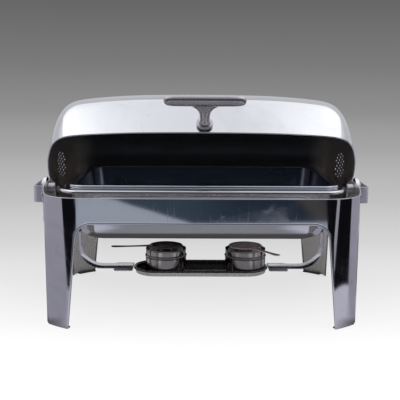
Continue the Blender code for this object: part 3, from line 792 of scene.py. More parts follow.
@dataclass
class Stand:
    """Bowed skirt and four legs pressed from one skin, with rolled hems round its openings."""

    front_y: float = 229 * MM
    end_x: float = 330 * MM
    front_bow: float = 5600 * MM
    end_bow: float = 640 * MM
    corner_floor: float = 48 * MM
    corner_top: float = 70 * MM
    sheet: float = 1.2 * MM
    top: float = 256 * MM
    skirt_low: float = 210 * MM
    end_low: float = 198 * MM
    arch_r: float = 35 * MM
    front_leg: Pair = (262 * MM, 245 * MM)
    end_leg: Pair = (178 * MM, 168 * MM)
    hem: float = 5.0 * MM
    hem_t: float = 2.6 * MM
    flatten: float = 0.8
    rows: int = 40

    def _corner(self, z: float) -> tuple[Vector, float, float, float]:
        """Corner circle that touches the front and the end walls.

        Args:
            z: height.

        Returns:
            Its middle, its radius, and its first and last angles.
        """
        share = min(max(z / self.top, 0.0), 1.0)
        radius = self.corner_floor + (self.corner_top - self.corner_floor) * share
        front = Vector((0.0, self.front_bow - self.front_y))
        end = Vector((self.end_x - self.end_bow, 0.0))
        reach = (end - front).length
        long, short = self.front_bow - radius, self.end_bow - radius
        along = (long ** 2 - short ** 2 + reach ** 2) / (2 * reach)
        off = math.sqrt(long ** 2 - along ** 2)
        unit = (end - front) / reach
        sides = [front + unit * along + Vector((-unit.y, unit.x)) * s * off for s in (1, -1)]
        middle = max(sides, key=lambda p: p.x - p.y)
        first, last = (middle - front), (middle - end)
        return middle, radius, math.atan2(first.y, first.x), math.atan2(last.y, last.x)

    def corner_at(self, z: float, share: float) -> Vector:
        """Point of the corner on the plan; it flattens into a slanting facet towards the floor.

        Args:
            z: height.
            share: 0 at the front wall and 1 at the end wall.

        Returns:
            The point, in the right front corner.
        """
        middle, radius, first, last = self._corner(z)
        angles = (first, last, first + (last - first) * share)
        start, stop, here = (middle + radius * Vector((math.cos(a), math.sin(a))) for a in angles)
        along = (here - start).dot((stop - start).normalized()) / (stop - start).length
        facet = start.lerp(stop, along)
        return here.lerp(facet, self.flatten * (1 - min(max(z / self.top, 0.0), 1.0)))

    def front_at(self, x: float, z: float | None = None) -> Vector:
        """Point of the front wall at x on the plan, or of the corner where x is past the wall.

        Args:
            x: place along the wall.
            z: height, where the point may lie on the corner.

        Returns:
            The point.
        """
        if z is not None and abs(x) > self.corner_at(z, 0).x:
            low, high = 0.0, 1.0
            for _ in range(30):
                share = (low + high) / 2
                low, high = (share, high) if self.corner_at(z, share).x < abs(x) else (low, share)
            return Vector((x, self.corner_at(z, low).y))
        return Vector((x, self.front_bow - self.front_y - math.sqrt(self.front_bow ** 2 - x ** 2)))

    def end_at(self, y: float) -> Vector:
        """Point of the right end wall at y, on the plan."""
        return Vector((self.end_x - self.end_bow + math.sqrt(self.end_bow ** 2 - y ** 2), y))

    def outline(self, z: float, side_steps: int = 26, corner_steps: int = 20) -> list[Point]:
        """The whole outline at one height.

        Args:
            z: height.
            side_steps: steps from a wall's middle to the corner.
            corner_steps: steps round a corner.

        Returns:
            The closed ring's points.
        """
        start_x, start_y = self.corner_at(z, 0).x, self.corner_at(z, 1).y
        quarter = [self.front_at(start_x * i / side_steps) for i in range(side_steps)]
        quarter += [self.corner_at(z, i / corner_steps) for i in range(corner_steps + 1)]
        quarter += [self.end_at(start_y * (1 - i / side_steps)) for i in range(1, side_steps)]
        rear = [Vector((p.x, -p.y)) for p in reversed(quarter[1:])]
        half = [*quarter, Vector((self.end_x, 0.0)), *rear]
        other = [Vector((-p.x, p.y)) for p in reversed(half)]
        ring = [*half, Vector((0.0, self.front_y)), *other[:-1]]
        return [(p.x, p.y, z) for p in ring]

    def opening(self, leg: Pair, top: float, below: float, steps: int = 14) -> list[Pair]:
        """Outline of the opening between two legs, from one foot to the other.

        Args:
            leg: half width at the floor and at the arch.
            top: height of the arch.
            below: how far the outline goes on under the floor.
            steps: steps round each corner of the arch.

        Returns:
            (across, height) points.
        """
        low, high = leg
        slope = (low - high) / (top - self.arch_r)
        rise = [(low + slope * below, -below)]
        rise += [(low - slope * z, z) for z in (k * (top - self.arch_r) / 10 for k in range(1, 10))]
        half = rise + arc((high - self.arch_r, top - self.arch_r), self.arch_r, 0, 90, steps)
        flat = [(half[-1][0] * (1 - 2 * k / 12), top) for k in range(1, 12)]
        return half + flat + [(-x, z) for x, z in reversed(half)]

    def _cutter(self, leg: Pair, top: float, along_y: bool) -> BMesh:
        """Closed shape that cuts one pair of openings.

        Args:
            leg: half width at the floor and at the arch.
            top: height of the arch.
            along_y: whether it runs from front to rear.

        Returns:
            The cutter's mesh.
        """
        reach = 0.5
        flat = self.opening(leg, top, 10 * MM)
        rows = [[(u, s * reach, z) if along_y else (s * reach, u, z) for u, z in flat] for s in (-1, 1)]
        return skin(rows, True, (True, True))

    def _hem(self, leg: Pair, top: float, along_y: bool, sign: int) -> BMesh:
        """Folded hem that follows one opening's edge.

        Args:
            leg: half width at the floor and at the arch.
            top: height of the arch.
            along_y: whether the wall is a front or rear one.
            sign: which of the two walls.

        Returns:
            The hem's mesh.
        """
        path, outward = [], []
        for u, z in self.opening(leg, top, 0.0):
            flat = self.front_at(u, z) if along_y else self.end_at(u)
            inset = (0, self.front_bow - self.front_y) if along_y else (self.end_x - self.end_bow, 0)
            out = (flat - Vector(inset)).normalized()
            mirror = Vector((1, -sign)) if along_y else Vector((sign, 1))
            path.append(Vector((flat.x * mirror.x, flat.y * mirror.y, z)))
            outward.append(Vector((out.x * mirror.x, out.y * mirror.y, 0)))
        flip = -1 if along_y == (sign < 0) else 1
        middle = -self.sheet / 2
        section = [(a + middle, flip * (b + self.hem / 2 - 0.6 * MM))
                   for a, b in round_box(self.hem_t, self.hem, self.hem_t * 0.48, 4)]
        return sweep(path, outward, section)

    def build(self, finishes: FinishRack) -> None:
        """Make and dress the skin and its hems.

        Args:
            finishes: the materials.
        """
        heights = [self.top * i / self.rows for i in range(self.rows + 1)]
        wall = Piece("stand_skin", skin([self.outline(z) for z in heights], weld=False))
        wall.wall(self.sheet, finishes.stand_inner)
        wall.combine(self._cutter(self.front_leg, self.skirt_low, True), "DIFFERENCE")
        wall.combine(self._cutter(self.end_leg, self.end_low, False), "DIFFERENCE")
        for end in End:
            drill = turned([(0, -10 * MM), (5.4 * MM, -10 * MM), (5.4 * MM, 10 * MM), (0, 10 * MM)], 32)
            at = Matrix.Translation((end.value * self.end_x, 0, 241 * MM)) @ turn_along_x(end.value)
            bmesh.ops.transform(drill, matrix=at, verts=drill.verts)
            wall.combine(drill, "DIFFERENCE")
        walls = ["skirt_front", "skirt_rear", "end_panel_left", "end_panel_right"]
        walls += [f"leg_{depth}_{end.word}" for depth in ("front", "rear") for end in End]
        wall.dress(finishes.stand, Body.STAND.value, Slot.STAND, *walls, sharp=25)
        for name, leg, top, along_y in (("front", self.front_leg, self.skirt_low, True),
                                        ("end", self.end_leg, self.end_low, False)):
            for sign in (-1, 1):
                hem = Piece(f"arch_hem_{name}_{'near' if sign < 0 else 'far'}",
                            self._hem(leg, top, along_y, sign))
                hem.dress(finishes.stand, Body.STAND.value, Slot.STAND)
        self._top_bead(finishes)

    def _top_bead(self, finishes: FinishRack) -> None:
        """Make the rolled bead along the stand's top edge.

        Args:
            finishes: the materials.
        """
        ring = [Vector(p) for p in self.outline(self.top)]
        out = []
        for i in range(len(ring)):
            along = ring[(i + 1) % len(ring)] - ring[i - 1]
            out.append(Vector((along.y, -along.x, 0)).normalized())
        section = [(a - self.sheet / 2, b) for a, b in arc((0, 0), 0.8 * MM, 0, 330, 11)]
        bead = Piece("stand_top_bead", sweep(ring, out, section, closed=True))
        bead.dress(finishes.stand, Body.STAND.value, Slot.STAND)


@dataclass
class SideHandle:
    """Bent flat grip riveted to an end wall."""

    stand: Stand
    end: End
    out_x: float = 351 * MM
    half_y: float = 55 * MM
    low: float = 219 * MM
    high: float = 254 * MM
    gauge: float = 2.5 * MM
    bend: float = 9 * MM
    tab: float = 16 * MM

    def build(self, finishes: FinishRack) -> None:
        """Make and dress the grip.

        Args:
            finishes: the materials.
        """
        rise = 0.3 * MM + self.gauge / 2
        arm = self.half_y - self.gauge / 2
        grip = self.out_x - self.gauge / 2
        foot = self.stand.end_at(self.half_y).x + rise
        heel = self.bend / 2
        half = [(grip, arm * k / 6) for k in range(0, 5)]
        half += arc((grip - self.bend, arm - self.bend), self.bend, 0, 90, 10)
        half += arc((foot + heel, arm + heel), heel, -90, -180, 8)
        half += [(self.stand.end_at(arm + self.tab).x + rise, arm + self.tab)]
        flat = [(x, -y) for x, y in reversed(half[1:])] + half
        middle = (self.low + self.high) / 2
        path = [Vector((self.end.value * x, y, middle)) for x, y in flat]
        outward = []
        for i in range(len(path)):
            along = path[min(i + 1, len(path) - 1)] - path[max(i - 1, 0)]
            outward.append(Vector((along.y, -along.x, 0)).normalized() * self.end.value)
        section = round_box(self.gauge, self.high - self.low, 1.0 * MM, 4)
        grip_piece = Piece(f"side_grip_{self.end.word}", sweep(path, outward, section))
        grip_piece.dress(finishes.grip, Body.STAND.value, Slot.CAST, f"side_handle_{self.end.word}")


@dataclass
class HingeCap:
    """Domed cap over the lid's pivot pin."""

    end: End
    inner: float = 330.3 * MM
    outer: float = 344.5 * MM
    radius: float = 24.5 * MM
    pivot_z: float = 241 * MM

    def build(self, finishes: FinishRack) -> None:
        """Make and dress the cap.

        Args:
            finishes: the materials.
        """
        rim = self.inner + 4.2 * MM
        dome = [(self.radius, self.inner), (self.radius, rim)]
        dome += arc((self.radius - 2.2 * MM, rim), 2.2 * MM, 12, 72, 5)
        rise = self.outer - dome[-1][1]
        dome += [(dome[-1][0] * math.cos(math.radians(a)), dome[-1][1] + rise * math.sin(math.radians(a)))
                 for a in range(8, 91, 8)]
        dome += [(0, self.outer), (0, self.outer - 1.5 * MM), (self.radius - 8 * MM, self.outer - 4 * MM),
                 (self.radius - 2 * MM, rim), (self.radius - 2 * MM, self.inner)]
        at = Matrix.Translation((0, 0, self.pivot_z)) @ turn_along_x(self.end.value)
        bm = turned([dome[-1], *dome[:-1]], 64)
        Piece(f"hinge_dome_{self.end.word}", bm, at).dress(
            finishes.cast, Body.STAND.value, Slot.CAST, f"hinge_cap_{self.end.word}")


# ---------------------------------------------------------------- lid

@dataclass
class Lid:
    """Rolling half-drum lid with domed ends, vents, a rolled rim and its T-shaped handle."""

    pivot_z: float = 241 * MM
    open_by: float = 41.5
    crown_r: float = 200 * MM
    gauge: float = 1.0 * MM
    boss_x: float = 313 * MM
    vent_r: float = 1.8 * MM
    vent_pitch: float = 12 * MM
    vent_radius: float = 95 * MM
    vent_angle: float = 113.0
    vent_half: Pair = (38 * MM, 24 * MM)
    handle_angle: float = 6.0
    handle_x: float = 4 * MM
    handle_reach: float = 65 * MM
    handle_half: float = 79 * MM
    steps: int = 96

    @property
    def rest(self) -> Matrix:
        """Place that the closed lid rolls back to."""
        return (Matrix.Translation((0, 0, self.pivot_z))
                @ Matrix.Rotation(-math.radians(self.open_by), 4, "X"))

    def profile(self) -> list[Pair]:
        """Section of the whole lid from its left boss over the crown to its right boss.

        Returns:
            (along X, from the pivot line) points.
        """
        half = [(0, 200), (70, 199.5), (139, 198), (190, 195), (224, 192), (252, 188.5), (268, 184.5),
                (281, 178), (291, 168), (299, 154.5), (306, 135), (313.5, 105), (317.5, 75), (319.5, 48)]
        line = [(x * MM, r * MM) for x, r in smooth_line(half, 6)]
        collar = smooth_line([(319.5, 48), (318.2, 34), (313.4, 26), (313, 20)], 5)
        line += [(x * MM, r * MM) for x, r in collar[1:]]
        line += [(self.boss_x, 8 * MM)]
        return [(-x, r) for x, r in reversed(line[1:])] + line

    def _shell(self) -> BMesh:
        """Half drum made by rolling the section round the pivot line.

        Returns:
            The open sheet, facing outwards.
        """
        bm = bmesh.new()
        verts = [bm.verts.new((x, -r, 0)) for x, r in self.profile()]
        edges = [bm.edges.new(pair) for pair in zip(verts, verts[1:])]
        bmesh.ops.spin(bm, geom=verts + edges, cent=(0, 0, 0), axis=(1, 0, 0), angle=-math.pi,
                       steps=self.steps)
        bmesh.ops.recalc_face_normals(bm, faces=bm.faces)
        bm.normal_update()
        top = max(bm.faces, key=lambda f: f.calc_center_median().z)
        if top.normal.z < 0:
            bmesh.ops.reverse_faces(bm, faces=bm.faces)
        return bm

    def _vents(self, end: End) -> BMesh:
        """Pins that cut the vents of one end.

        Args:
            end: which end.

        Returns:
            The cutters' mesh.
        """
        bm = bmesh.new()
        lean = math.radians(self.vent_angle)
        middle = Vector((-math.cos(lean), math.sin(lean))) * self.vent_radius
        for row in range(-3, 4):
            for col in range(-4, 5):
                across = row * self.vent_pitch * math.sqrt(3) / 2
                along = (col + 0.5 * (row % 2)) * self.vent_pitch
                if (along / self.vent_half[0]) ** 2 + (across / self.vent_half[1]) ** 2 <= 1.0:
                    at = Matrix.Translation((end.value * self.boss_x, middle.x + along, middle.y + across))
                    bmesh.ops.create_cone(bm, cap_ends=True, segments=14, radius1=self.vent_r,
                                          radius2=self.vent_r, depth=30 * MM, matrix=at @ turn_along_x(1))
        return bm

    def _rim(self) -> BMesh:
        """Rolled rim that runs along the front edge, round the ends and along the rear edge.

        Returns:
            The rim's mesh.
        """
        run = [(x, r) for x, r in self.profile() if r >= 30 * MM]
        bm = bmesh.new()
        for sign in (-1, 1):
            path = [Vector((x, sign * (r - self.gauge / 2), 1.2 * MM)) for x, r in run]
            out = []
            for i in range(len(path)):
                along = path[min(i + 1, len(path) - 1)] - path[max(i - 1, 0)]
                out.append(Vector((-along.y, along.x, 0)).normalized())
            section = [(a, b) for a, b in arc((0, 0), 1.7 * MM, 0, 330, 11)]
            part = sweep(path, out, section)
            mesh = bpy.data.meshes.new("rim_run")
            part.to_mesh(mesh)
            part.free()
            bm.from_mesh(mesh)
            bpy.data.meshes.remove(mesh)
        return bm

    def _handle(self) -> "Piece":
        """T-shaped casting: round neck that spreads into an oval bar.

        Returns:
            The handle's piece, still undressed.
        """
        base = self.crown_r + 0.3 * MM
        neck_rows = []
        for share, half_w, half_d in ((0.0, 11.2, 11.2), (0.08, 11.6, 11.6), (0.16, 12.0, 11.8),
                                      (0.3, 11.2, 10.6), (0.5, 11.8, 9.8), (0.62, 14, 9.2), (0.72, 19, 8.6),
                                      (0.8, 27, 8.0), (0.87, 38, 7.2), (0.93, 50, 6.0)):
            neck_rows.append([(self.handle_x + half_w * MM * math.cos(a), half_d * MM * math.sin(a),
                               base + self.handle_reach * share)
                              for a in (TURN * i / 32 for i in range(32))])
        bar_rows = []
        half = (0.3, 0.6, 0.8, 0.9, 0.95, 0.98, 0.995, 1)
        for share in (*(-far for far in reversed(half)), 0, *half):
            swell = max(1 - abs(share) ** 12, 0.0) ** 0.5 * 0.88 + 0.12
            bar_rows.append([(self.handle_x + self.handle_half * share, 9.2 * MM * swell * math.cos(a),
                              base + self.handle_reach + 11.8 * MM * swell * math.sin(a))
                             for a in (TURN * i / 32 for i in range(32))])
        piece = Piece("t_handle", skin(bar_rows, True, (True, True)))
        piece.combine(skin(neck_rows, True, (True, True)), "UNION")
        return piece.cast(1.0 * MM, 14)

    def build(self, finishes: FinishRack) -> None:
        """Make and dress the shell, the rim, the handle and its ring.

        Args:
            finishes: the materials.
        """
        shell = Piece("lid_drum", self._shell())
        shell.wall(self.gauge, finishes.lid_inner)
        for end in End:
            shell.combine(self._vents(end), "DIFFERENCE")
        shell.obj.data.transform(self.rest)
        shell.dress(finishes.lid, Body.LID.value, Slot.LID, "lid_shell", sharp=30)
        Piece("lid_rolled_rim", self._rim(), self.rest).dress(finishes.lid, Body.LID.value, Slot.LID)
        aim = (self.rest @ Matrix.Rotation(-math.radians(self.handle_angle), 4, "X")
               @ Matrix.Rotation(math.pi / 2, 4, "X"))
        handle = self._handle()
        handle.obj.data.transform(aim)
        handle.dress(finishes.handle, Body.LID.value, Slot.CAST, "lid_handle", sharp=60)
        base = self.crown_r + 2.6 * MM
        ring = [(10.9 * MM, base), (16 * MM, base + 0.6 * MM),
                *arc((14.6 * MM, base + 2.6 * MM), 2.4 * MM, 0, 90, 8),
                *arc((12.6 * MM, base + 3.4 * MM), 1.6 * MM, 90, 180, 6)]
        Piece("handle_seat_ring", turned(ring, 64), aim @ Matrix.Translation((self.handle_x, 0, 0))).dress(
            finishes.handle, Body.LID.value, Slot.CAST, "handle_ring")


# ---------------------------------------------------------------- pans

@dataclass
class WaterPan:
    """Deep pan for hot water, hung by its flange inside the stand."""

    flange: Pair = (279 * MM, 175.5 * MM)
    flange_z: float = 261 * MM
    ledge: float = 2.4 * MM
    body: Pair = (260 * MM, 157 * MM)
    bottom_z: float = 156.5 * MM
    gauge: float = 1.0 * MM
    bend: float = 29 * MM
    slope: float = 13 * MM

    def build(self, finishes: FinishRack) -> None:
        """Make and dress the pan.

        Args:
            finishes: the materials.
        """
        (fx, fy), (bx, by) = self.flange, self.body
        high = self.flange_z + self.ledge
        rows = [((fx - inset, fy - inset), 34 * MM - inset, z) for inset, z in
                ((0.5 * MM, self.flange_z - 3 * MM), (0, self.flange_z - 2.4 * MM),
                 (0, self.flange_z - 1.2 * MM), (0.6 * MM, self.flange_z + 0.3 * MM),
                 (2.4 * MM, high - 0.9 * MM), (4 * MM, high - 0.2 * MM), (6 * MM, high))]
        lip = 3 * MM
        rows += [((bx + lip - lip * math.sin(math.radians(a)), by + lip - lip * math.sin(math.radians(a))),
                  32 * MM, high - lip * (1 - math.cos(math.radians(a)))) for a in range(0, 91, 15)]
        wall_top = high - lip
        wall_low = self.bottom_z + self.bend
        rows += [((bx - self.slope * k / 8, by - self.slope * k / 8), 32 * MM + 4 * MM * k / 8,
                  wall_top + (wall_low - wall_top) * k / 8) for k in range(1, 8)]
        for i in range(13):
            a = math.pi / 2 * i / 12
            inset = self.slope + self.bend * (1 - math.cos(a))
            rows.append(((bx - inset, by - inset), 36 * MM - 0.25 * (inset - self.slope),
                         self.bottom_z + self.bend * (1 - math.sin(a))))
        bm = skin([oblong(half, radius, z) for half, radius, z in rows], True, (False, True))
        self._face_down(bm)
        Piece("water_pan_deep", bm).wall(self.gauge).dress(
            finishes.water, Body.STAND.value, Slot.PAN, "water_pan")

    @staticmethod
    def _face_down(bm: BMesh) -> None:
        """Turn an open pan's faces so that its outside is outside.

        Args:
            bm: the pan's mesh.
        """
        bm.normal_update()
        if min(bm.faces, key=lambda f: f.calc_center_median().z).normal.z > 0:
            bmesh.ops.reverse_faces(bm, faces=bm.faces)


@dataclass
class FoodPan(WaterPan):
    """Full-size food pan with a rolled rim, lying in the water pan."""

    rim: Pair = (265 * MM, 162.5 * MM)
    rim_z: float = 271 * MM
    depth: float = 65 * MM
    centre_x: float = 4 * MM
    curl: float = 3.1 * MM

    def build(self, finishes: FinishRack) -> None:
        """Make and dress the pan.

        Args:
            finishes: the materials.
        """
        rx, ry = self.rim
        wx, wy = rx - 13 * MM, ry - 13 * MM
        rows = []
        for a in range(-100, 91, 10):
            turn = math.radians(a)
            inset = self.curl * (1 - math.cos(turn))
            rows.append(((rx - inset, ry - inset), 28 * MM - inset,
                         self.rim_z - self.curl * (1 - math.sin(turn))))
        rows += [((rx - 6 * MM, ry - 6 * MM), 26 * MM, self.rim_z - 0.5 * MM),
                 ((rx - 8 * MM, ry - 8 * MM), 25 * MM, self.rim_z - 1.1 * MM)]
        for a in range(10, 91, 16):
            turn = math.radians(a)
            reach = 3 * MM * (1 - math.sin(turn))
            rows.append(((wx + reach, wy + reach), 28 * MM,
                         self.rim_z - 1.2 * MM - 3 * MM * (1 - math.cos(turn))))
        bend, slope = 16 * MM, 6 * MM
        floor = self.rim_z - self.depth
        wall_top = self.rim_z - 4.4 * MM
        rows += [((wx - slope * k / 6, wy - slope * k / 6), 28 * MM,
                  wall_top + (floor + bend - wall_top) * k / 6) for k in range(1, 6)]
        for i in range(11):
            a = math.pi / 2 * i / 10
            inset = slope + bend * (1 - math.cos(a))
            rows.append(((wx - inset, wy - inset), 28 * MM - 0.4 * (inset - slope),
                         floor + bend * (1 - math.sin(a))))
        rings = [oblong(half, radius, z, self.centre_x) for half, radius, z in rows]
        bm = skin(rings, True, (False, True))
        self._face_down(bm)
        pan = Piece("food_pan_full_size", bm).wall(0.9 * MM)
        pan.paint(finishes.food_inner, lambda at: at.z < self.rim_z - 3 * MM and abs(at.y) < ry - 10 * MM
                  and abs(at.x - self.centre_x) < rx - 10 * MM)
        pan.dress(
            finishes.food, Body.FOOD.value, Slot.PAN, "food_pan")


# ---------------------------------------------------------------- fuel carrier and cups

@dataclass
class Carrier:
    """Bent straps, splice plates and the oval tray that holds the fuel cups."""

    strap_x: float = 263 * MM
    strap_w: float = 42 * MM
    strap_t: float = 2.0 * MM
    low_z: float = 69 * MM
    high_z: float = 237 * MM
    bend: float = 48 * MM
    inner_x: float = 149 * MM
    splice: Pair = (147 * MM, 188 * MM)
    splice_w: float = 70 * MM
    tray: Pair = (145 * MM, 50.5 * MM)
    tray_z: Pair = (57 * MM, 70 * MM)
    tray_r: float = 48 * MM

    def build(self, finishes: FinishRack) -> None:
        """Make and dress the carrier's pieces.

        Args:
            finishes: the materials.
        """
        for end in End:
            self._strap(end, finishes)
            self._splice(end, finishes)
        self._tray(finishes)

    def _strap(self, end: End, finishes: FinishRack) -> None:
        """Make one bent strap.

        Args:
            end: which end.
            finishes: the materials.
        """
        drop = self.high_z - self.low_z - self.bend
        flat = [(self.strap_x, self.high_z - drop * k / 8) for k in range(8)]
        flat += arc((self.strap_x - self.bend, self.low_z + self.bend), self.bend, 0, -90, 24)
        flat += [(flat[-1][0] + (self.inner_x - flat[-1][0]) * k / 5, self.low_z) for k in range(1, 6)]
        path = [Vector((end.value * x, 0, z)) for x, z in flat]
        outward = []
        for i in range(len(path)):
            along = path[min(i + 1, len(path) - 1)] - path[max(i - 1, 0)]
            outward.append(Vector((-along.z, 0, along.x)).normalized())
        section = round_box(self.strap_t, self.strap_w, 0.8 * MM, 3)
        Piece(f"bent_strap_{end.word}", sweep(path, outward, section)).dress(
            finishes.carrier, Body.STAND.value, Slot.CARRIER, f"support_strap_{end.word}")

    def _splice(self, end: End, finishes: FinishRack) -> None:
        """Make the plate that joins a strap to the tray.

        Args:
            end: which end.
            finishes: the materials.
        """
        gauge = 1.6 * MM
        top = self.low_z - self.strap_t / 2 - 0.3 * MM
        length = self.splice[1] - self.splice[0]
        flat = round_box(length, self.splice_w, 5 * MM, 6)
        middle = end.value * (self.splice[0] + self.splice[1]) / 2
        rows = [[(middle + x, y, z) for x, y in flat] for z in (top - gauge, top)]
        Piece(f"splice_plate_{end.word}", skin(rows, True, (True, True))).ease(0.5 * MM).dress(
            finishes.splice, Body.STAND.value, Slot.CARRIER, f"tray_splice_{end.word}")

    def _tray(self, finishes: FinishRack) -> None:
        """Make the oval tray.

        Args:
            finishes: the materials.
        """
        (hx, hy), (low, high) = self.tray, self.tray_z
        roll = 1.6 * MM
        rows = [((hx + roll * (math.sin(math.radians(a)) - 1), hy + roll * (math.sin(math.radians(a)) - 1)),
                 self.tray_r + roll * (math.sin(math.radians(a)) - 1),
                 high - roll * (1 - math.cos(math.radians(a)))) for a in range(150, -61, -15)]
        rows += [((hx - 3.2 * MM, hy - 3.2 * MM), self.tray_r - 3.2 * MM, high - 3 * MM),
                 ((hx - 3.4 * MM, hy - 3.4 * MM), self.tray_r - 3.4 * MM, low + 3 * MM)]
        for a in range(0, 91, 18):
            inset = 3.4 * MM + 3 * MM * (1 - math.cos(math.radians(a)))
            rows.append(((hx - inset, hy - inset), self.tray_r - inset,
                         low + 3 * MM * (1 - math.sin(math.radians(a)))))
        bm = skin([oblong(half, radius, z, steps=24) for half, radius, z in rows], True, (False, True))
        WaterPan._face_down(bm)
        Piece("oval_fuel_tray", bm).wall(1.0 * MM, finishes.tray_inner).dress(
            finishes.tray, Body.STAND.value, Slot.CARRIER, "fuel_tray")


@dataclass
class FuelCup:
    """Beaded cup with its collar and swinging snuffer cover."""

    end: End
    x: float
    heading: float
    radius: float = 44 * MM
    floor: float = 58.5 * MM
    bead: Pair = (93 * MM, 97 * MM)
    top: float = 108 * MM
    collar_top: float = 115 * MM
    cover_r: float = 36 * MM
    cover_t: float = 1.5 * MM
    cover_dome: float = 2.6 * MM
    pivot_r: float = 33 * MM
    tip_r: float = 119 * MM

    def build(self, finishes: FinishRack) -> None:
        """Make and dress the cup, the collar and the cover.

        Args:
            finishes: the materials.
        """
        at = Matrix.Translation((self.x, 0, 0))
        body = f"fuel_cup_{self.end.word}"
        Piece(f"beaded_cup_{self.end.word}", turned(self._cup(), 96), at).dress(
            finishes.cup, body, Slot.CUP, f"fuel_cup_{self.end.word}")
        Piece(f"cup_collar_{self.end.word}", turned(self._collar(), 96), at).dress(
            finishes.cup, body, Slot.CUP, f"fuel_collar_{self.end.word}")
        heading = math.radians(self.heading)
        pivot = (self.x + self.pivot_r * math.cos(heading), self.pivot_r * math.sin(heading),
                 self.collar_top + 0.3 * MM)
        cover = self._cover()
        cover.obj.data.transform(Matrix.Translation(pivot) @ Matrix.Rotation(heading, 4, "Z"))
        # the right cover takes the pale painted-light copy of the heat-tinted finish, the left the darker
        # finish
        worn = finishes.cover_worn if self.end is End.RIGHT else finishes.cover
        cover.dress(worn, f"snuffer_{self.end.word}", Slot.CUP, f"snuffer_cover_{self.end.word}")

    def _cup(self) -> list[Pair]:
        """Section of the cup's wall.

        Returns:
            Closed (radius, height) outline.
        """
        r, wall = self.radius, 0.9 * MM
        low, high = self.bead
        out = [(0, self.floor), (r - 5 * MM, self.floor),
               *arc((r - 3 * MM, self.floor + 3 * MM), 3 * MM, -90, 0, 6)]
        out += [(r, low - 2 * MM), (r - 1.6 * MM, low - 0.8 * MM), (r - 1.6 * MM, low)]
        out += [*arc((r - 0.5 * MM, (low + high) / 2), (high - low) / 2, -80, 80, 8)]
        out += [(r - 1.6 * MM, high + 0.6 * MM), (r - 0.5 * MM, high + 1.8 * MM),
                (r - 0.5 * MM, self.top - 0.4 * MM), (r - 0.9 * MM, self.top)]
        inside = [(r - 0.5 * MM - wall, self.top), (r - 1.8 * MM - wall, high), (r - 1.8 * MM - wall, low),
                  (r - wall - 0.4 * MM, self.floor + 3 * MM), (r - 4 * MM, self.floor + wall),
                  (0, self.floor + wall)]
        return out + inside

    def _collar(self) -> list[Pair]:
        """Section of the collar that closes the cup down to its opening.

        Returns:
            Closed (radius, height) outline.
        """
        r, seat, top, wall = self.radius, self.top + 0.3 * MM, self.collar_top, 1.0 * MM
        out = [(r - 0.6 * MM, seat), (r - 0.1 * MM, seat + 0.4 * MM), (r, seat + 1.2 * MM),
               (r - 0.4 * MM, seat + 1.9 * MM), (r - 2 * MM, seat + 2.4 * MM), (r - 4 * MM, seat + 3.4 * MM),
               (r - 6.4 * MM, top - 1.4 * MM), (r - 8 * MM, top - 0.4 * MM), (r - 10 * MM, top)]
        inside = [(29 * MM, top), (28 * MM, top - 0.5 * MM), (28 * MM, top - 3 * MM), (29 * MM, top - 3 * MM),
                  (30 * MM, top - wall), (r - 10 * MM, top - wall), (r - 5 * MM, seat - 2 * MM),
                  (r - 2.3 * MM, seat - 4 * MM), (r - 2.3 * MM, seat)]
        return list(reversed(out + inside))

    def _cover(self) -> "Piece":
        """Domed round cover with a flat lever, about its pivot; the lever points along +X.

        Returns:
            The cover's piece, still undressed.
        """
        dome, r, t = self.cover_dome, self.cover_r, self.cover_t
        upper = [(0, t + dome)]
        upper += [(r * 0.80 * k / 10, t + dome * (1 - (k / 10) ** 2) * 0.97) for k in range(1, 11)]
        upper += [(r * 0.86, t), (r - 0.8 * MM, t), (r - 0.2 * MM, t - 0.3 * MM), (r, t / 2),
                  (r - 0.3 * MM, 0.1 * MM), (r - 1 * MM, 0)]
        lower = [(r * 0.84, 0)]
        lower += [(r * 0.78 * k / 6, dome * (1 - (k / 6) ** 2) * 0.95) for k in range(5, -1, -1)]
        disc = turned(upper + lower, 96)
        bmesh.ops.translate(disc, verts=disc.verts, vec=(-self.pivot_r, 0, 0))
        piece = Piece(f"snuffer_plate_{self.end.word}", disc)
        tip = self.tip_r - self.pivot_r
        rows = []
        for x, half in ((-3, 8.5), (1.5, 8.2), (4, 7.2), (9, 6.2), (18, 5.4), (32, 4.8), (48, 4.6), (60, 5.2),
                        (70, 6.6), (77, 7.2), (82, 6.4), (84.6, 4.6), (85.8, 2.2)):
            rise = 1.2 * MM * max(0.0, (x - 20) / 66) ** 2
            rows.append([(tip * x / 86, y, z + t / 2 + rise)
                         for y, z in round_box(half * 2 * MM, t * 0.96, t * 0.4, 3)])
        piece.combine(skin(rows, True, (True, True)), "UNION")
        hole = turned([(0, -5 * MM), (2.9 * MM, -5 * MM), (2.9 * MM, 8 * MM), (0, 8 * MM)], 24)
        return piece.combine(hole, "DIFFERENCE")


# ---------------------------------------------------------------- studio

@dataclass(frozen=True)
class Card:
    """A flat panel that only reflections see."""

    name: str
    centre: Point
    size: Pair
    turn: Point
    colour: Colour

    def build(self) -> bpy.types.Object:
        """Make the panel.

        Returns:
            Its object.
        """
        bm = bmesh.new()
        bmesh.ops.create_grid(bm, x_segments=1, y_segments=1, size=0.5)
        place = Matrix.Translation(self.centre)
        for angle, axis in zip(reversed(self.turn), "ZYX"):
            place = place @ Matrix.Rotation(math.radians(angle), 4, axis)
        bmesh.ops.transform(bm, matrix=place @ Matrix.Diagonal((*self.size, 1, 1)), verts=bm.verts)
        mesh = bpy.data.meshes.new(self.name)
        bm.to_mesh(mesh)
        bm.free()
        obj = bpy.data.objects.new(self.name, mesh)
        bpy.context.scene.collection.objects.link(obj)
        material = bpy.data.materials.new(self.name)
        graph = Graph(material)
        graph.surface(graph.node("ShaderNodeEmission", {}, {"Color": (*self.colour, 1), "Strength": 1.0}))
        material.cycles.emission_sampling = "NONE"
        mesh.materials.append(material)
        obj.visible_camera = obj.visible_diffuse = obj.visible_shadow = False
        return obj


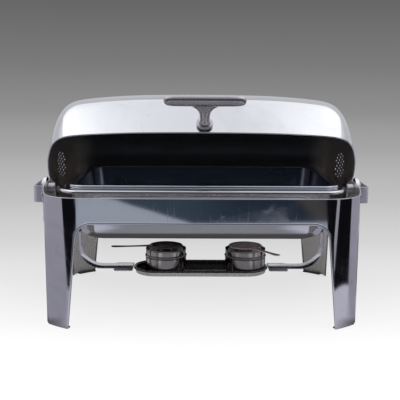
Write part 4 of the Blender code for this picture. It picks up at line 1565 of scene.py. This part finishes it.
@dataclass
class Studio:
    """Camera, pale floor, grey surroundings, soft lights and reflection panels."""

    lens: float = 72.0
    eye: Point = (-0.023, -1.704, 0.507)
    pitch: float = 9.7
    yaw: float = 0.69
    roll: float = 0.35
    floor_r: float = 7.0

    def camera(self) -> None:
        """Make the camera and choose it."""
        data = bpy.data.cameras.new("camera")
        data.lens = self.lens
        data.sensor_width = 36.0
        obj = bpy.data.objects.new("camera", data)
        bpy.context.scene.collection.objects.link(obj)
        turn = (Matrix.Rotation(math.radians(-self.yaw), 4, "Z")
                @ Matrix.Rotation(math.radians(90 - self.pitch), 4, "X")
                @ Matrix.Rotation(math.radians(self.roll), 4, "Z"))
        obj.matrix_world = Matrix.Translation(self.eye) @ turn
        bpy.context.scene.camera = obj

    def floor(self) -> None:
        """Make the pale floor: a painted pool of light, its glow brightest along a line just in front of the
        dish and darker with distance.
        """
        bm = bmesh.new()
        bmesh.ops.create_circle(bm, cap_ends=True, segments=96, radius=self.floor_r)
        mesh = bpy.data.meshes.new("pale_floor")
        bm.to_mesh(mesh)
        bm.free()
        obj = bpy.data.objects.new("pale_floor", mesh)
        bpy.context.scene.collection.objects.link(obj)
        material = bpy.data.materials.new("pale_floor")
        graph = Graph(material)
        here = graph.place()
        y = graph.node("ShaderNodeSeparateXYZ", {}, {0: here}, "Y")
        # painted light: the glow fades with distance along Y from a line just in front of the dish
        away = (y + 0.42).size() * (1 / self.floor_r)
        stops = [(0.0, 1.0), (0.037, 0.87), (0.08, 0.72), (0.141, 0.55), (0.24, 0.415), (0.49, 0.285),
                 (1.0, 0.18)]
        tone = graph.node("ShaderNodeValToRGB", {"stops": [(p, (v, v, v)) for p, v in stops]}, {0: away})
        glow = graph.node("ShaderNodeEmission", {}, {"Color": tone, "Strength": 0.95})
        matt = graph.node("ShaderNodeBsdfDiffuse", {}, {"Color": (0.17, 0.17, 0.17, 1)})
        graph.surface(graph.node("ShaderNodeAddShader", {}, {0: glow, 1: matt}))
        material.cycles.emission_sampling = "NONE"
        mesh.materials.append(material)
        obj.visible_glossy = False

    def mirrored_floor(self) -> None:
        """Make the floor that reflections see: pale close by, with dark gaps between lit patches."""
        size = (2 * self.floor_r, 2 * self.floor_r)
        obj = Card("mirrored_floor", (0, 0, -0.0004), size, (0, 0, 0), (0, 0, 0)).build()
        graph = Graph(obj.data.materials[0])
        here = graph.place()
        x, y = (graph.node("ShaderNodeSeparateXYZ", {}, {0: here}, axis) for axis in "XY")
        aside, ahead = x.size(), -0.23 - y
        off_end, off_front = aside.past(0.30), y.size().past(0.20)
        away = (off_end * off_end + off_front * off_front) ** 0.5
        left = 1 - x.between(-0.05, 0.05)
        inside = 1 - (aside - ahead * 0.23).between(0.26, 0.30)
        patch = (1 - (x - y * 0.877).between(1.08, 1.12)).or_more(y.between(-1.31, -1.24)) * inside
        flank = ((y + off_end * 0.727).between(-0.26, -0.20) * left
                 + (y - off_end * 0.05).between(-0.23, -0.18) * (1 - left))
        strip = ((ahead - off_end).between(0.0, 0.06) * (1 - (ahead - off_end * 1.45).between(0.0, 0.06))
                 * (1 - left) * away.between(0.2, 0.4))
        near = 1 - away.between(0.27, 0.31)
        lit = near.or_more(patch).or_more(flank)
        far = graph.blend(x.between(-0.1, 0.25), (0.036, 0.052, 0.075), (0.016, 0.026, 0.042))
        far = graph.blend(x.between(0.44, 0.52), far, (0.055, 0.050, 0.050))
        dark = graph.blend(inside, (0.004, 0.004, 0.006), far)
        dark = graph.blend(strip, dark, (0.30, 0.29, 0.33))
        pale = graph.blend(away.between(0.2, 0.7), (0.50, 0.49, 0.57), (0.325, 0.355, 0.41))
        # painted shadow: in front of the dish's middle the reflected floor turns darker
        middle = (1 - aside.between(0.20, 0.27)) * (1 - ahead.between(0.35, 0.80))
        pale = graph.blend(middle, pale, (0.24, 0.235, 0.26))
        pale = graph.blend(flank, pale, (0.30, 0.29, 0.34))
        # painted shadow: under the dish the reflected floor is darkest
        beneath = (1 - aside.between(0.31, 0.36)) * (1 - ahead.between(-0.07, 0.03))
        under = beneath * (1 - y.between(0.22, 0.5))
        pale = graph.blend(under, pale, (0.072, 0.068, 0.068))
        glow = graph.node("ShaderNodeEmission", {}, {"Color": graph.blend(lit, dark, pale), "Strength": 1.0})
        graph.surface(glow)

    def world(self) -> None:
        """Grey surroundings: a plain gradient to the eye, a studio to the reflections."""
        world = bpy.data.worlds.new("studio")
        bpy.context.scene.world = world
        graph = Graph(world)
        way = graph.node("ShaderNodeTexCoord", output="Generated")
        x, y, z = (graph.node("ShaderNodeSeparateXYZ", {}, {0: way}, axis) for axis in "XYZ")
        stops = [(0.0, 0.33), (0.27, 0.275), (0.5, 0.195), (0.8, 0.133), (1.0, 0.115)]
        seen = graph.node("ShaderNodeValToRGB", {"stops": [(p, (v, v, v)) for p, v in stops]},
                          {0: z * 4.0 + 0.5})
        side = graph.blend(x.size().between(0.45, 0.85), (0.012, 0.015, 0.022), (0.30, 0.29, 0.35))
        back = graph.node("ShaderNodeMix", {"data_type": "RGBA"},
                          {"Factor": y.between(-0.25, 0.35), 6: side, 7: (0.56, 0.56, 0.59, 1)}, 2)
        top = graph.blend(x.size().between(0.0, 0.42), (0.40, 0.40, 0.425), (0.86, 0.86, 0.88))
        room = graph.node("ShaderNodeMix", {"data_type": "RGBA"},
                          {"Factor": z.between(0.30, 0.75), 6: back, 7: top}, 2)
        eye = graph.node("ShaderNodeLightPath", output="Is Camera Ray")
        colour = graph.node("ShaderNodeMix", {"data_type": "RGBA"}, {"Factor": eye, 6: room, 7: seen}, 2)
        sky = graph.node("ShaderNodeBackground", {}, {"Color": colour, "Strength": 1.0})
        graph.node("ShaderNodeOutputWorld", {}, {"Surface": sky})

    def light(self, name: str, centre: Point, size: Pair, aim: Point, radiance: float,
              colour: Colour = (1, 1, 1), glossy: bool = True) -> None:
        """Make one softbox.

        Args:
            name: its name.
            centre: its middle.
            size: its width and height.
            aim: point that it faces.
            radiance: how bright its face looks.
            colour: its tint.
            glossy: whether it shows in reflections.
        """
        data = bpy.data.lights.new(name, "AREA")
        data.shape = "RECTANGLE"
        data.size, data.size_y = size
        data.energy = radiance * math.pi * size[0] * size[1]
        data.color = colour
        obj = bpy.data.objects.new(name, data)
        bpy.context.scene.collection.objects.link(obj)
        toward = (Vector(aim) - Vector(centre)).normalized()
        obj.matrix_world = Matrix.Translation(centre) @ toward.to_track_quat("-Z", "Y").to_matrix().to_4x4()
        obj.visible_camera = False
        obj.visible_glossy = glossy

    def build(self) -> None:
        """Set the studio up."""
        self.camera()
        self.floor()
        self.world()
        bpy.context.scene.view_settings.view_transform = "Standard"
        self.mirrored_floor()
        self.light("overhead_softbox", (0.0, 0.55, 1.75), (3.4, 2.4), (0, 0.3, 0), 0.46, (0.97, 0.98, 1.0))
        self.light("left_softbox", (-2.3, 0.3, 0.9), (1.6, 1.2), (0, 0, 0.2), 0.30, glossy=False)
        self.light("right_softbox", (2.3, 0.3, 0.9), (1.6, 1.2), (0, 0, 0.2), 0.25, glossy=False)


# ---------------------------------------------------------------- carried-over nodes

@dataclass(frozen=True)
class Fittings:
    """Small parts of the model that keep their own mesh and get a finish."""

    satin: tuple[str, ...] = ("hinge_pin", "hinge_washer", "hinge_plate", "hinge_nut", "handle_screw",
                              "snuffer_pin", "pan_rest", "hanger_left", "hanger_right")
    bright: tuple[str, ...] = ("side_handle_rivet", "hanger_rivet")
    rubber: tuple[str, ...] = ("foot_",)

    def build(self, nodes: dict[str, bpy.types.Object], finishes: FinishRack) -> None:
        """Give each of these nodes its finish.

        Args:
            nodes: the model's nodes by name.
            finishes: the materials.
        """
        for starts, finish, slot in ((self.satin, finishes.fitting, Slot.FITTING),
                                     (self.bright, finishes.cast, Slot.FITTING),
                                     (self.rubber, finishes.pad, Slot.PAD)):
            for name in sorted(n for n in nodes if n.startswith(starts)):
                mesh = nodes[name].data
                mesh.materials.clear()
                mesh.materials.append(finish)
                LOG.info("%s: finished as %s", name, slot.value)


def main() -> None:
    """Build the studio and every piece."""
    logging.basicConfig(level=logging.INFO, format="%(message)s")
    Studio().build()
    finishes = FinishRack()
    stand = Stand()
    stand.build(finishes)
    for end in End:
        SideHandle(stand, end).build(finishes)
        HingeCap(end).build(finishes)
    Lid().build(finishes)
    WaterPan().build(finishes)
    FoodPan().build(finishes)
    Carrier().build(finishes)
    FuelCup(End.LEFT, -76 * MM, 190.0).build(finishes)
    FuelCup(End.RIGHT, 97 * MM, -58.0, cover_dome=6.0 * MM).build(finishes)
    Fittings().build(frame["nodes"], finishes)


if __name__ == "__main__":
    main()
